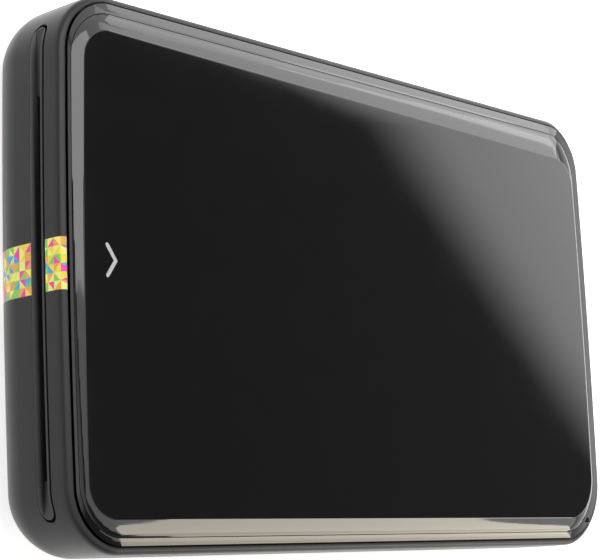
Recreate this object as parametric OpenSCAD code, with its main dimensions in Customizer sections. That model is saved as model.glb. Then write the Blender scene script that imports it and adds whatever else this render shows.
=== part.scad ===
// Compact photo printer, lying on its feet with the paper exit towards -X.
// Origin at the middle of the footprint, Z = 0 on the table, millimetres.

/* [Body] */
// Overall length, exit end to rear end
body_l = 120; // [118:1:130]
// Overall width
body_w = 74; // [73:1:84]
// Overall height, feet included
body_h = 19; // [18.8:0.1:21]
// Thickness of the housing walls and floor
wall = 1.4; // [1.1:0.1:1.6]
// Corner radius of the housing seen from above
corner_r = 9.5; // [9:0.25:10.5]
// Radius of the rounding along the lower edge
belly_r = 8; // [7.5:0.25:8.25]
// How far the cover line lies inside the widest line
rim_inset = 1.1; // [0.8:0.1:1.3]
// Height of the widest line above the table
widest_z = 12.5; // [11:0.5:13]
// Corner radius of the rating plate and its recess
plate_r = 2; // [0.5:0.5:4]
// Length of the rating plate
plate_l = 46; // [30:1:56]
// Width of the rating plate
plate_w = 24; // [12:1:30]
// Thickness of the rating plate
plate_t = 0.15; // [0.1:0.05:0.3]

/* [Cover] */
// Thickness of the cover at its edge
cover_t = 1.5; // [1.4:0.1:1.8]
// Gap between the cover and the rim of the housing
cover_gap = 0.4; // [0.3:0.05:0.6]
// Thickness of the cover's middle
skin_t = 1.2; // [1:0.1:1.3]
// Width of the thick band round the cover's edge
band_w = 2; // [1.5:0.25:3]
// Height of the upright strip below the bevel
strip_h = 0.55; // [0.4:0.05:0.7]
// Step inward from the strip to the bevel
crease = 0.35; // [0.2:0.05:0.5]
// Radius of the rounded bevel
bevel_r = 4; // [3:0.25:5]
// Length of each sliding hook
hook_l = 12; // [8:1:14]
// Thickness of a hook's leg
hook_t = 0.8; // [0.6:0.1:1]
// Thickness of a hook's lip
lip_t = 0.5; // [0.4:0.05:0.6]
// Width of a hook's lip
lip_w = 2; // [1.5:0.25:2.5]
// Running clearance of the sliding cover
slide_play = 0.15; // [0.1:0.01:0.2]

/* [Paper path] */
// Height of the paper path above the table
paper_z = 12.95; // [12.9:0.05:13.2]
// Distance of the paper bay from each side of the body
bay_side = 11.4; // [11.2:0.1:11.7]
// Distance of the paper bay from the exit end
bay_in = 29; // [28.8:0.1:29.4]
// Distance of the bay's rear wall from the rear end
bay_rear = 13; // [12:0.5:14]
// Depth of the bay floor below the paper path
bay_drop = 3.25; // [3.1:0.05:3.3]
// Thickness of the tray floor
tray_floor = 0.8; // [0.6:0.05:0.85]
// Thickness of the tray's side walls
tray_wall = 1.2; // [0.8:0.1:1.4]
// Thickness of the tray's rail flanges
rail_t = 0.6; // [0.5:0.05:0.7]
// Height of the wall that closes the bay at the rear
bay_end_h = 4.1; // [3.5:0.1:4.4]
// Distance of the exit slot's insert from each side of the body
slot_side = 4.75; // [4:0.25:7]
// Height of the exit slot's insert
slot_h = 2.7; // [2.5:0.05:2.9]
// How far the print's gap is wider than the paper bay, on each side
mouth_play = 1.4; // [0.4:0.1:2.4]
// Height of the gap that the print comes out of
mouth_h = 0.9; // [0.6:0.05:1]
// Hairline gap round each fitted trim piece
trim_gap = 0.12; // [0.08:0.01:0.2]

/* [Rollers] */
// Distance of the platen roller from the exit end
platen_in = 19; // [18.8:0.1:19.4]
// Diameter of the platen roller
platen_d = 8; // [7.8:0.1:8.2]
// Distance of the feed roller from the exit end
feed_in = 9.5; // [9.2:0.1:9.8]
// Diameter of the feed roller
feed_d = 5; // [4.8:0.1:5.1]
// Diameter of the pinch roller
pinch_d = 4; // [3.6:0.1:4]
// Paper gap between feed and pinch roller
nip = 0.25; // [0.2:0.01:0.3]
// Distance of the pick roller from the exit end
pick_in = 33; // [32.8:0.1:33.2]
// Diameter of the pick tyres
pick_d = 7; // [6.8:0.1:7]
// How far the pick tyres rise above the bay floor
pick_rise = 0.4; // [0.2:0.05:0.5]
// Width of each pick tyre
tyre_w = 8; // [6:0.5:10]
// Distance of each pick tyre's middle from the centre line
tyre_y = 10; // [8:0.5:14]
// Diameter of the roller shafts
shaft_d = 2; // [1.8:0.1:2.2]
// Diameter of the pinch roller's ends
pinch_shaft_d = 1.6; // [1.4:0.1:1.6]
// Running clearance of a shaft in its bush, on the radius
run_gap = 0.03; // [0.02:0.005:0.05]
// Outer diameter of the bushes
bush_d = 4; // [3.6:0.1:4.2]
// Thickness of a bush's flange
bush_flange = 0.5; // [0.3:0.05:0.6]

/* [Gears] */
// Gear module
gear_m = 0.5; // [0.5:0.01:0.51]
// Thickness of a gear
gear_t = 1.4; // [1.1:0.1:1.5]
// Gap between the gear layers, and from the first to the frame
layer_gap = 0.2; // [0.15:0.05:0.3]
// Backlash at the pitch circle
backlash = 0.12; // [0.1:0.01:0.16]
// Diameter of the gear studs
stud_d = 1.6; // [1.4:0.1:1.8]

/* [Frame] */
// Thickness of the roller frame's sheet
sheet_t = 0.8; // [0.6:0.05:0.9]
// Length of the roller frame's floor
frame_l = 35; // [34:0.5:36]
// Length of the gear-side plate
drive_l = 46; // [45:0.5:47]
// Height of the frame's floor above the housing floor
frame_lift = 0.6; // [0.5:0.05:0.7]

/* [Print head] */
// Length of the print head along the paper path
head_l = 9.5; // [9:0.25:10]
// Clearance between the print head and the frame, on each side
head_play = 1.2; // [1.1:0.1:1.6]
// Thickness of the ceramic board
ceramic_t = 0.8; // [0.6:0.05:0.9]
// Thickness of the heat sink
sink_t = 1.5; // [1.2:0.1:1.6]
// Diameter of the head's pivot pin
pivot_d = 1.4; // [1.2:0.1:1.5]
// Outer diameter of the head springs
head_spring_d = 1.7; // [1.5:0.1:1.8]

/* [Motor] */
// Diameter of the motor
motor_d = 6; // [5.8:0.1:6]
// Length of the motor
motor_l = 14; // [12:0.5:15]
// Diameter of the motor shaft
motor_shaft_d = 0.8; // [0.7:0.05:1]

/* [Battery] */
// Room between the cells and the board, for the leads
lead_room = 3.4; // [3.2:0.1:6]
// Thickness of a cell
cell_t = 5; // [4:0.25:6]
// Gap between the two cells
cell_gap = 0.4; // [0.3:0.1:0.6]

/* [Main board] */
// Length of the board
board_l = 22.6; // [22:0.1:23]
// Distance of the board from each side of the body
board_side = 7; // [7:0.25:8]
// Thickness of the board
board_t = 0.8; // [0.6:0.1:1]
// Height of the board's underside above the housing floor
board_lift = 2.2; // [2:0.1:2.3]
// Width of the charging socket
usb_w = 7.5; // [7:0.1:8]
// Height of the charging socket
usb_h = 2.6; // [2.4:0.1:2.8]
// Depth of the charging socket
usb_l = 5.6; // [5:0.1:6]
// Width of the power button
button_w = 8; // [6:0.5:9]
// Height of the power button
button_h = 2.8; // [2.4:0.1:3]
// Travel of the power button
button_travel = 0.4; // [0.2:0.05:0.5]
// Distance of the power button from the centre line
button_y = 20; // [18:0.5:21]
// Distance of the reset switch from the centre line
reset_y = 11.5; // [11:0.5:12]
// Diameter of the light pipes
pipe_d = 1.5; // [1.2:0.1:1.6]

/* [Feet and screws] */
// Diameter of the rubber feet
foot_d = 8; // [6:0.5:10]
// How far the feet stand proud of the housing
foot_proud = 0.4; // [0.35:0.05:0.5]
// Depth of the recess that holds a foot
foot_sink = 0.4; // [0.3:0.05:0.5]
// Distance of the feet from each end
foot_in = 15; // [14:0.5:18]
// Distance of the feet from each side
foot_side = 14; // [14:0.5:18]
// Diameter of the screw threads
screw_d = 1.4; // [1.2:0.1:1.6]
// Diameter of the screw heads
screw_head = 2.8; // [2.4:0.1:3]
// Height of the screw heads
head_h = 0.7; // [0.6:0.05:0.8]

/* [Hidden] */
$fn = 48;

// Ends, and heights from the table up
x_exit = -body_l / 2;
x_rear = body_l / 2;
floor_z = foot_proud + wall;
cover_z = body_h - cover_t;
rim_z = cover_z - cover_gap;
rim_r = (pow(cover_z - widest_z, 2) + pow(rim_inset, 2)) / (2 * rim_inset);
deck_z = paper_z - bay_drop;
rail_top = rim_z - 0.1;
rail_z = rail_top - rail_t;
lip_z = rail_z - slide_play - lip_t;

// Widths from the paper bay outward
bay_w = body_w - 2 * bay_side;
slot_w = body_w - 2 * slot_side;
mouth_w = bay_w + 2 * mouth_play;
side_play = 0.8;
tray_y = bay_w / 2 + tray_wall;
frame_y = tray_y + side_play;
plate_y = frame_y + sheet_t;
rail_y = plate_y + 3.7;
lip_y = rail_y + 0.3 - lip_w;
leg_y = rail_y + 0.3;
gear_y = plate_y + layer_gap + 0.3;
gear2_y = gear_y + gear_t + layer_gap;
shaft_end = gear_y + gear_t + layer_gap / 2;

// Shafts as [x, z]
platen_at = [x_exit + platen_in, paper_z - platen_d / 2];
feed_at = [x_exit + feed_in, paper_z - feed_d / 2];
pinch_at = [x_exit + feed_in, paper_z + nip + pinch_d / 2];
pick_at = [x_exit + pick_in, deck_z + pick_rise - pick_d / 2];

// Gear train: teeth, pitch distances, places and mesh angles
platen_n = 16;
feed_n = 10;
feed_idler_n = 12;
pick_idler_n = 14;
pick_n = 14;
small_n = 12;
large_n = 22;
pinion_n = 10;
pressure = 25;
addendum = 0.8 * gear_m;
dedendum = 1.1 * gear_m;
function mesh(a, b) = gear_m * (a + b) / 2;
function along(a, b, ra, rb) = (ra * ra - rb * rb + pow(norm(b - a), 2)) / (2 * norm(b - a));
function third(a, b, ra, rb) =
    let (u = (b - a) / norm(b - a), t = along(a, b, ra, rb), h = sqrt(ra * ra - t * t))
    a + u * t + h * [-u[1], u[0]];
function heading(a, b) = atan2(b[1] - a[1], b[0] - a[0]);
function meshed(a_at, b_at, a_turn, a_n, b_n) =
    let (t = heading(a_at, b_at)) t + 180 + ((t - a_turn) * a_n + 180) / b_n;
feed_idler_at = third(platen_at, feed_at, mesh(platen_n, feed_idler_n), mesh(feed_n, feed_idler_n));
pick_idler_at = third(platen_at, pick_at, mesh(platen_n, pick_idler_n), mesh(pick_n, pick_idler_n));
reduction_rise = 24.5;
reduction_at = pick_at + mesh(pick_n, small_n) * [cos(reduction_rise), sin(reduction_rise)];
motor_z = floor_z + 0.8 + motor_d / 2;
motor_drop = reduction_at[1] - motor_z;
motor_at = [reduction_at[0] + sqrt(pow(mesh(large_n, pinion_n), 2) - pow(motor_drop, 2)), motor_z];
platen_turn = 0;
feed_idler_turn = meshed(platen_at, feed_idler_at, platen_turn, platen_n, feed_idler_n);
feed_turn = meshed(feed_idler_at, feed_at, feed_idler_turn, feed_idler_n, feed_n);
pick_idler_turn = meshed(platen_at, pick_idler_at, platen_turn, platen_n, pick_idler_n);
pick_turn = meshed(pick_idler_at, pick_at, pick_idler_turn, pick_idler_n, pick_n);
small_turn = meshed(pick_at, reduction_at, pick_turn, pick_n, small_n);
large_turn = small_turn;
pinion_turn = meshed(reduction_at, motor_at, large_turn, large_n, pinion_n);

// Frame, head and sensor
frame_x = x_exit + 6;
frame_z = floor_z + frame_lift;
frame_top = rail_z - 0.3;
frame_holes = [for (x = [8, 31.5], s = [-1, 1]) [frame_x + x, s * (frame_y - 7.6)]];
head_w = 2 * (frame_y - head_play);
head_x = platen_at[0] - 5;
head_z = paper_z + 0.2;
sink_z = head_z + ceramic_t;
pivot_at = [head_x + head_l + 1, head_z + 1.65];
spring_at = [head_x - 0.5, tray_y - 0.2];
spring_low = platen_at[1] - 1.6;
lever_at = [x_exit + 26.2, deck_z - 2.5];
lever_y = frame_y - 7.6;
motor_plug_y = frame_y - 12.6;
cable_y = [-frame_y + 0.7, -frame_y + 1];
cable_x = [pivot_at[0] - 4.2, pivot_at[0] - 1.3];
cable_z = frame_z + sheet_t + 0.05;
cable_t = 0.3;
cable_w = 3.8;

// Tray, battery and board
bay_x = x_exit + bay_in;
bay_end = x_rear - bay_rear;
rail_x = [x_exit + 8, x_rear - 4];
post_r = 2;
board_w = body_w - 2 * board_side;
board_x = x_rear - 4 - board_l;
post_x = [frame_x + drive_l + post_r + 3, board_x - post_r - 0.6];
post_y = tray_y + post_r + side_play;
boss_z = floor_z + 1.6;
cell_x = frame_x + drive_l + 2;
cell_l = board_x - lead_room - cell_x;
cell_y = -tray_y + 4.8;
cell_w = (motor_plug_y - 2.6 - cell_y - cell_gap) / 2;
cell_z = floor_z + 0.2;
board_z = floor_z + board_lift;
top_z = board_z + board_t;
board_edge = board_w / 2 - 3.5;
board_holes = [[board_x + 3, board_edge], [board_x + 3, -board_edge + 7],
    [board_x + 17, button_y - 7.2], [board_x + 17, -board_edge - 0.3]];
button_z = top_z + 2.4;
button_x = x_rear - 0.3;
reset_z = top_z + 1.1;
light_z = top_z + 0.9;
light_y = [-16.5, -21.5];
switch_l = 3.8;
switch_x = x_rear - 9.2;
usb_x = x_rear - 1.2 - usb_l;
plug_y = 4;

// Small helpers
module box(x, y, z) translate([x[0], y[0], z[0]]) cube([x[1] - x[0], y[1] - y[0], z[1] - z[0]]);
module at(p) translate([p[0], 0, p[1]]) children();
module rod(d, y0, y1) translate([0, y0, 0]) rotate([-90, 0, 0]) cylinder(d = d, h = y1 - y0);
module rod_x(d, x0, x1) translate([x0, 0, 0]) rotate([0, 90, 0]) cylinder(d = d, h = x1 - x0);
module pill_x(w, h, x0, x1) {
    translate([x0, -(w - h) / 2, -h / 2]) cube([x1 - x0, w - h, h]);
    for (s = [-1, 1]) translate([0, s * (w - h) / 2, 0]) rod_x(h, x0, x1);
}
module slab(l, w, r, z0, z1) translate([0, 0, z0]) linear_extrude(z1 - z0) {
    square([l - 2 * r, w], center = true);
    square([l, w - 2 * r], center = true);
    for (sx = [-1, 1], sy = [-1, 1]) translate([sx * (l / 2 - r), sy * (w / 2 - r)]) circle(r);
}
// A wire of eight-sided section through a list of points
wire_sides = 8;
function bend(points, i) =
    let (a = points[max(i - 1, 0)], b = points[min(i + 1, len(points) - 1)], p = points[i])
    (i == 0 ? [0, 0, 0] : (p - a) / norm(p - a)) + (i == len(points) - 1 ? [0, 0, 0] : (b - p) / norm(b - p));
function ring(p, along, r) =
    let (t = along / norm(along), u = cross(t, [0.6, 0.7, 0.3]), v = cross(t, u))
    [for (k = [0 : wire_sides - 1]) let (a = 360 * k / wire_sides) p + r * (cos(a) * u / norm(u) + sin(a) * v / norm(v))];
module wire(points, d) {
    last = len(points) - 1;
    rings = [for (i = [0 : last]) each ring(points[i], bend(points, i), d / 2)];
    sides = [for (i = [0 : last - 1], k = [0 : wire_sides - 1])
        let (n = (k + 1) % wire_sides, j = i * wire_sides) [j + k, j + n, j + wire_sides + n, j + wire_sides + k]];
    lids = [[for (k = [wire_sides - 1 : -1 : 0]) k], [for (k = [0 : wire_sides - 1]) last * wire_sides + k]];
    polyhedron(rings, concat(sides, lids), convexity = 4);
}
// A countersunk or flat screw standing head up at z
module screw(z, length) {
    translate([0, 0, z]) difference() {
        cylinder(d = screw_head, h = head_h);
        translate([0, 0, head_h - 0.35]) {
            cube([0.4, screw_head * 0.6, 1], center = true);
            cube([screw_head * 0.6, 0.4, 1], center = true);
        }
    }
    translate([0, 0, z - length]) cylinder(d = screw_d, h = length);
}

// The side profile of the housing, off by the given distance inward, from its corner's axis out
module side_profile(off, top) {
    arc_x = corner_r - belly_r;
    arc_z = foot_proud + belly_r;
    translate([0, foot_proud + off]) square([arc_x, belly_r - off]);
    intersection() {
        translate([arc_x, arc_z]) circle(belly_r - off);
        translate([arc_x, foot_proud]) square(belly_r);
    }
    translate([0, arc_z]) square([corner_r - off, widest_z - arc_z]);
    intersection() {
        translate([corner_r - rim_r, widest_z]) circle(rim_r - off);
        translate([0, widest_z]) square([corner_r, top - widest_z]);
    }
}
// The cover's profile, from its corner's axis out
module cover_profile() {
    edge = corner_r - rim_inset;
    step = edge - crease;
    bevel_z = cover_z + strip_h;
    flat_x = step - sqrt(pow(bevel_r, 2) - pow(bevel_z - body_h + bevel_r, 2));
    translate([0, cover_z]) square([edge, strip_h]);
    translate([0, bevel_z]) square([flat_x, body_h - bevel_z]);
    intersection() {
        translate([flat_x, body_h - bevel_r]) circle(bevel_r);
        translate([flat_x, bevel_z]) square([bevel_r, body_h - bevel_z]);
    }
}
// Carries a profile round the four corners and along the four sides
module swept(z0, z1) {
    mx = body_l / 2 - corner_r;
    my = body_w / 2 - corner_r;
    box([-mx, mx], [-my, my], [z0, z1]);
    for (turn = [0, 180]) rotate([0, 0, turn]) {
        translate([mx, my, 0]) rotate_extrude(angle = 90) children();
        translate([-mx, my, 0]) rotate([0, 0, 90]) rotate_extrude(angle = 90) children();
        translate([mx, my, 0]) rotate([90, 0, 0]) linear_extrude(2 * my) children();
        translate([-mx, my, 0]) rotate([90, 0, 90]) linear_extrude(2 * mx) children();
    }
}
module outer_body(top) swept(foot_proud, top) side_profile(0, top);
module inner_body(top) swept(floor_z, top) side_profile(wall, top);

// A spur gear of n teeth between two heights along Y
function involute(c) = tan(acos(c)) * 180 / PI - acos(c);
function tooth_half(n, r) =
    let (pitch_r = gear_m * n / 2, base_r = pitch_r * cos(pressure), q = max(r, base_r))
    90 / n - backlash / 2 / pitch_r * 90 / PI + involute(cos(pressure)) - involute(base_r / q);
function gear_radii(n) =
    let (pitch_r = gear_m * n / 2, low = pitch_r - dedendum, high = pitch_r + addendum)
    [low, max(low + 0.05, pitch_r * cos(pressure)), pitch_r, high];
module spur(n, turn, y0, y1, bore) {
    radii = gear_radii(n);
    outline = [for (i = [0 : n - 1], k = [0 : 7])
        let (r = radii[k < 4 ? k : 7 - k], a = turn + i * 360 / n + (k < 4 ? -1 : 1) * tooth_half(n, r))
        r * [cos(a), sin(a)]];
    difference() {
        translate([0, y1, 0]) rotate([90, 0, 0]) linear_extrude(y1 - y0) polygon(outline);
        rod(bore, y0 - 1, y1 + 1);
    }
}

// Casing
module hook_notches(d) for (s = [-1, 1])
    box([x_rear - 8, x_rear + 1], s > 0 ? [lip_y - d, leg_y + hook_t + d] : [-leg_y - hook_t - d, -lip_y + d],
        [lip_z - d, body_h]);
module base_housing() color("#47474A") {
    difference() {
        outer_body(rim_z);
        difference() {
            inner_body(body_h);
            for (x = post_x, s = [-1, 1]) translate([x, s * post_y, 0]) cylinder(d = 5, h = boss_z);
            for (p = frame_holes) translate(p) cylinder(d = 4.4, h = frame_z);
            for (p = board_holes) translate([p[0], p[1], 0]) cylinder(d = 3.8, h = board_z);
            for (x = [cell_x - 1.4, cell_x + cell_l + 0.4])
                box([x, x + 1], [cell_y + 3, cell_y + 2 * cell_w - 6], [0, floor_z + 2]);
            for (y = [cell_y - 1.4, cell_y + 2 * cell_w + cell_gap + 0.4])
                box([cell_x + 4, cell_x + cell_l - 4], [y, y + 1], [0, floor_z + 1.2]);
        }
        translate([0, 0, paper_z]) pill_x(slot_w + 2 * trim_gap, slot_h + 2 * trim_gap, x_exit - 1, x_exit + 5);
        hook_notches(0.3);
        for (x = post_x, s = [-1, 1]) translate([x, s * post_y, 0]) {
            cylinder(d = screw_d + 0.3, h = 9);
            cylinder(d = screw_head + 0.4, h = foot_proud + 1.4);
        }
        for (p = frame_holes) translate([p[0], p[1], foot_proud + 0.5]) cylinder(d = screw_d, h = 9);
        for (p = board_holes) translate([p[0], p[1], foot_proud + 0.5]) cylinder(d = screw_d, h = 9);
        for (sx = [-1, 1], sy = [-1, 1]) translate([sx * (x_rear - foot_in), sy * (body_w / 2 - foot_side), 0])
            cylinder(d = foot_d + 2 * trim_gap, h = foot_proud + foot_sink);
        slab(plate_l + 2 * trim_gap, plate_w + 2 * trim_gap, plate_r, 0, foot_proud + plate_t);
        translate([0, 0, top_z + usb_h / 2]) pill_x(usb_w + 1.2, usb_h + 0.8, x_rear - 4, x_rear + 1);
        translate([0, button_y, button_z])
            pill_x(button_w + 2 * trim_gap, button_h + 2 * trim_gap, x_rear - 4, x_rear + 1);
        translate([0, -reset_y, reset_z]) rod_x(1.1, x_rear - 4, x_rear + 1);
        for (y = light_y) translate([0, y, light_z]) rod_x(pipe_d + 0.1, x_rear - 4, x_rear + 1);
    }
}
module exit_bezel() color("#242427") intersection() {
    outer_body(rim_z);
    translate([0, 0, paper_z]) difference() {
        union() {
            pill_x(slot_w, slot_h, x_exit - 1, x_exit + 4.5);
            box([x_exit + 2, x_exit + 6], [-mouth_w / 2 - 1, mouth_w / 2 + 1], [-mouth_h / 2 - 0.6, mouth_h / 2 + 0.6]);
        }
        box([x_exit - 2, x_exit + 7], [-mouth_w / 2, mouth_w / 2], [-mouth_h / 2, mouth_h / 2]);
        rotate([90, 0, 0]) translate([0, 0, -slot_w / 2 + 3.2]) linear_extrude(slot_w - 6.4)
            polygon([[x_exit - 1, -slot_h / 2 + 0.2], [x_exit - 1, slot_h / 2 - 0.25], [x_exit + 0.4, slot_h / 2 - 0.6],
                [x_exit + 2, 0], [x_exit + 2, -0.2], [x_exit + 0.25, -slot_h / 2 + 0.2]]);
    }
}
module rating_plate() color("#2E2E30")
    slab(plate_l, plate_w, plate_r, foot_proud, foot_proud + plate_t);
module rubber_feet() color("#1C1C1E") for (sx = [-1, 1], sy = [-1, 1])
    translate([sx * (x_rear - foot_in), sy * (body_w / 2 - foot_side), 0])
        cylinder(d = foot_d, h = foot_proud + foot_sink);

// Sliding cover with its hooks and springs
hook_in = 15;
hook_rear = 25;
hook_step = (body_l - hook_in - hook_rear) / 2;
hook_x = [for (k = [0 : 2]) x_exit + hook_in + k * hook_step];
module top_cover() color("#1A1A1C") {
    difference() {
        swept(cover_z, body_h) cover_profile();
        slab(body_l - 2 * (rim_inset + band_w), body_w - 2 * (rim_inset + band_w),
            corner_r - rim_inset - band_w, cover_z - 1, leaf_top);
    }
    for (x = hook_x, s = [0, 180]) rotate([0, 0, s]) {
        c = s == 0 ? x : -x;
        box([c - hook_l / 2, c + hook_l / 2], [leg_y, leg_y + hook_t], [lip_z, leaf_top + 0.3]);
        box([c - hook_l / 2, c + hook_l / 2], [lip_y, leg_y + hook_t], [lip_z, lip_z + lip_t]);
    }
}
leaf_x = [bay_x + 22, bay_end - 24];
leaf_t = 0.2;
leaf_top = body_h - skin_t;
leaf_low = deck_z + 5.05;
leaf_half = bay_w / 2 - 3.6;
strap_half = 3;
tongue_w = 8;
tongue_y = 12;
tongue_reach = 11;
tongue_flat = 2;
tongue_lift = [3, 1.2];
rivet_d = 1.2;
rivet_head = [2.2, 0.3];
rivet_y = [for (k = [-1 : 1]) k * (leaf_half - 3)];
module cover_leaf_springs() color("#B9BCC0") for (x = leaf_x) translate([x, 0, 0]) difference() {
    flat_end = tongue_reach + tongue_flat;
    tip = [flat_end + tongue_lift[0], leaf_low + tongue_lift[1]];
    union() {
        box([-strap_half, strap_half], [-leaf_half, leaf_half], [leaf_top - leaf_t, leaf_top]);
        for (s = [-1, 1]) translate([0, s * tongue_y + tongue_w / 2, 0]) rotate([90, 0, 0])
            linear_extrude(tongue_w) polygon([
                [strap_half - leaf_t / 2, leaf_top], [strap_half, leaf_top - leaf_t], [tongue_reach, leaf_low],
                [flat_end, leaf_low], tip, tip + [0, leaf_t], [flat_end, leaf_low + leaf_t],
                [tongue_reach, leaf_low + leaf_t], [strap_half + leaf_t, leaf_top]]);
    }
    for (y = rivet_y) translate([0, y, 0]) cylinder(d = rivet_d, h = body_h);
}
module leaf_spring_rivets() color("#2A2A2C") for (x = leaf_x, y = rivet_y) translate([x, y, 0]) {
    translate([0, 0, leaf_top - leaf_t]) cylinder(d = rivet_d, h = leaf_t);
    translate([0, 0, leaf_top - leaf_t - rivet_head[1]]) cylinder(d = rivet_head[0], h = rivet_head[1]);
}

// Paper tray, which also carries the cover's rails
module paper_tray() color("#2B2B2E") difference() {
    union() {
        box([bay_x, bay_end + tray_wall], [-tray_y, tray_y], [deck_z - tray_floor, deck_z]);
        box([bay_end, bay_end + tray_wall], [-tray_y, tray_y], [deck_z - tray_floor, deck_z + bay_end_h]);
        for (s = [0, 180]) rotate([0, 0, s]) {
            x = s == 0 ? [bay_x, bay_end + tray_wall] : [-bay_end - tray_wall, -bay_x];
            r = s == 0 ? rail_x : [-rail_x[1], -rail_x[0]];
            box(x, [tray_y - tray_wall, tray_y], [deck_z - tray_floor, rail_top]);
            box(x, [tray_y - tray_wall, rail_y], [rail_z, rail_top]);
            box(r, [tray_y + 0.3, rail_y], [rail_z, rail_top]);
            for (p = post_x) translate([s == 0 ? p : -p, 0, 0]) {
                translate([0, post_y, boss_z]) cylinder(r = post_r, h = deck_z - boss_z);
                box([-post_r, post_r], [tray_y - 0.5, post_y], [deck_z - tray_floor, deck_z]);
            }
        }
        for (k = [-1 : 1]) translate([bay_x, k * (bay_w / 2 - 5.6) + 1, deck_z]) rotate([90, 0, 0]) linear_extrude(2)
            polygon([[0, -0.1], [4, -0.1], [0.6, 0.4], [0, 0.4]]);
    }
    for (p = post_x, s = [-1, 1]) translate([p, s * post_y, boss_z - 1]) cylinder(d = screw_d, h = 5);
    for (s = [-1, 1]) box([pick_at[0] - pick_d / 2 - 0.8, pick_at[0] + pick_d / 2 + 0.8],
        [s * tyre_y - tyre_w / 2 - 1, s * tyre_y + tyre_w / 2 + 1], [deck_z - 2, deck_z + 1]);
    for (y = [-1, 1]) translate([bay_end - 2, y * 14, deck_z - 2]) cylinder(d = 3, h = 4);
}
module cover_detent_spring() color("#B9BCC0") {
    x = bay_end + tray_wall;
    box([x, x + 0.2], [-9, 9], [deck_z + 0.6, deck_z + bay_end_h]);
    box([x, x + 5.2], [-4, 4], [deck_z + bay_end_h - 0.2, deck_z + bay_end_h]);
    box([x + 5, x + 5.2], [-4, 4], [deck_z + bay_end_h - 0.2, cover_z - 0.9]);
    translate([x + 5.1, 0, cover_z - 0.9]) rod(1.2, -4, 4);
}

// Roller frame and the rollers in it
module round_hole(p, d) at(p) rod(d, -body_w, body_w);
module roller_frame() color("#A9ACB0") difference() {
    union() {
        box([frame_x, frame_x + frame_l], [-plate_y, plate_y], [frame_z, frame_z + sheet_t]);
        box([frame_x, frame_x + frame_l], [-plate_y, -frame_y], [frame_z, frame_top]);
        box([frame_x, frame_x + frame_l], [frame_y, plate_y], [frame_z, frame_top]);
        box([frame_x, frame_x + drive_l], [frame_y, plate_y], [frame_z, deck_z + 1]);
        for (s = [-1, 1]) translate([spring_at[0], 0, spring_low - 0.3])
            box([-0.9, 0.9], s > 0 ? [spring_at[1] - head_spring_d / 2, frame_y] : [-frame_y, -spring_at[1] + head_spring_d / 2], [0, 0.3]);
    }
    for (p = [platen_at, feed_at, pick_at]) round_hole(p, bush_d);
    round_hole(pinch_at, pinch_shaft_d + 2 * run_gap);
    box([pinch_at[0] - pinch_shaft_d / 2 - run_gap, pinch_at[0] + pinch_shaft_d / 2 + run_gap],
        [-body_w, body_w], [pinch_at[1], body_h]);
    round_hole(pivot_at, pivot_d);
    for (p = [feed_idler_at, pick_idler_at, reduction_at]) at(p) rod(stud_d, 0, body_w);
    at(motor_at) rod(2.2, 0, body_w);
    for (s = [-1, 1]) at(motor_at + s * [2.1, 0]) rod(0.8, 0, body_w);
    for (p = frame_holes) translate(p) cylinder(d = screw_d + 0.2, h = 9);
    for (s = [-1, 1]) box([pick_at[0] - pick_d / 2 - 0.6, pick_at[0] + pick_d / 2 + 0.6],
        [s * tyre_y - tyre_w / 2 - 1, s * tyre_y + tyre_w / 2 + 1], [0, frame_z + 1]);
}
module frame_screws() color("#8C8F94") for (p = frame_holes)
    translate(p) screw(frame_z + sheet_t, frame_z + sheet_t - foot_proud - 0.7);
module shaft(p, y1) at(p) rod(shaft_d, -plate_y - 0.6, y1);
module platen_shaft() color("#C3C6CA") shaft(platen_at, shaft_end);
module feed_shaft() color("#C3C6CA") shaft(feed_at, shaft_end);
module pick_shaft() color("#C3C6CA") shaft(pick_at, shaft_end);
module sleeve(p, d, y0, y1, bore) at(p) difference() {
    rod(d, y0, y1);
    rod(bore, y0 - 1, y1 + 1);
}
module platen_rubber() color("#2A2C30") sleeve(platen_at, platen_d, -bay_w / 2 + 0.1, bay_w / 2 - 0.1, shaft_d);
module feed_rubber() color("#3A3C40") for (k = [-1 : 1])
    let (y = k * (bay_w / 2 - 7.6)) sleeve(feed_at, feed_d, y - 5, y + 5, shaft_d);
module pick_tyres() color("#3A3C40") for (s = [-1, 1])
    sleeve(pick_at, pick_d, s * tyre_y - tyre_w / 2, s * tyre_y + tyre_w / 2, shaft_d);
module pinch_roller() color("#C3C6CA") at(pinch_at) {
    rod(pinch_d, -frame_y + 1, frame_y - 1);
    rod(pinch_shaft_d, -plate_y - 1.2, plate_y + 1.2);
}
module shaft_bushes() color("#B08A4A") for (p = [platen_at, feed_at, pick_at], s = [-1, 1]) difference() {
    union() {
        sleeve(p, bush_d, s > 0 ? frame_y : -plate_y, s > 0 ? plate_y : -frame_y, shaft_d + 2 * run_gap);
        sleeve(p, bush_d + 1, s > 0 ? frame_y - bush_flange : -frame_y, s > 0 ? frame_y : -frame_y + bush_flange,
            shaft_d + 2 * run_gap);
    }
    round_hole(p, shaft_d + 2 * run_gap);
}
module pinch_springs() color("#C9CBCE") for (s = [0, 180]) rotate([0, 0, s]) {
    x = s == 0 ? pinch_at[0] : -pinch_at[0];
    f = s == 0 ? 1 : -1;
    z = pinch_at[1] + pinch_shaft_d / 2 + 0.02;
    foot = f > 0 ? [x + 3, x + 6] : [x - 6, x - 3];
    arm = f > 0 ? [x - 1.6, x + 6] : [x - 6, x + 1.6];
    box(arm, [plate_y, plate_y + 1.2], [z, z + 0.2]);
    box(foot, [plate_y, plate_y + 0.2], [z - 3, z + 0.2]);
}

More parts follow.
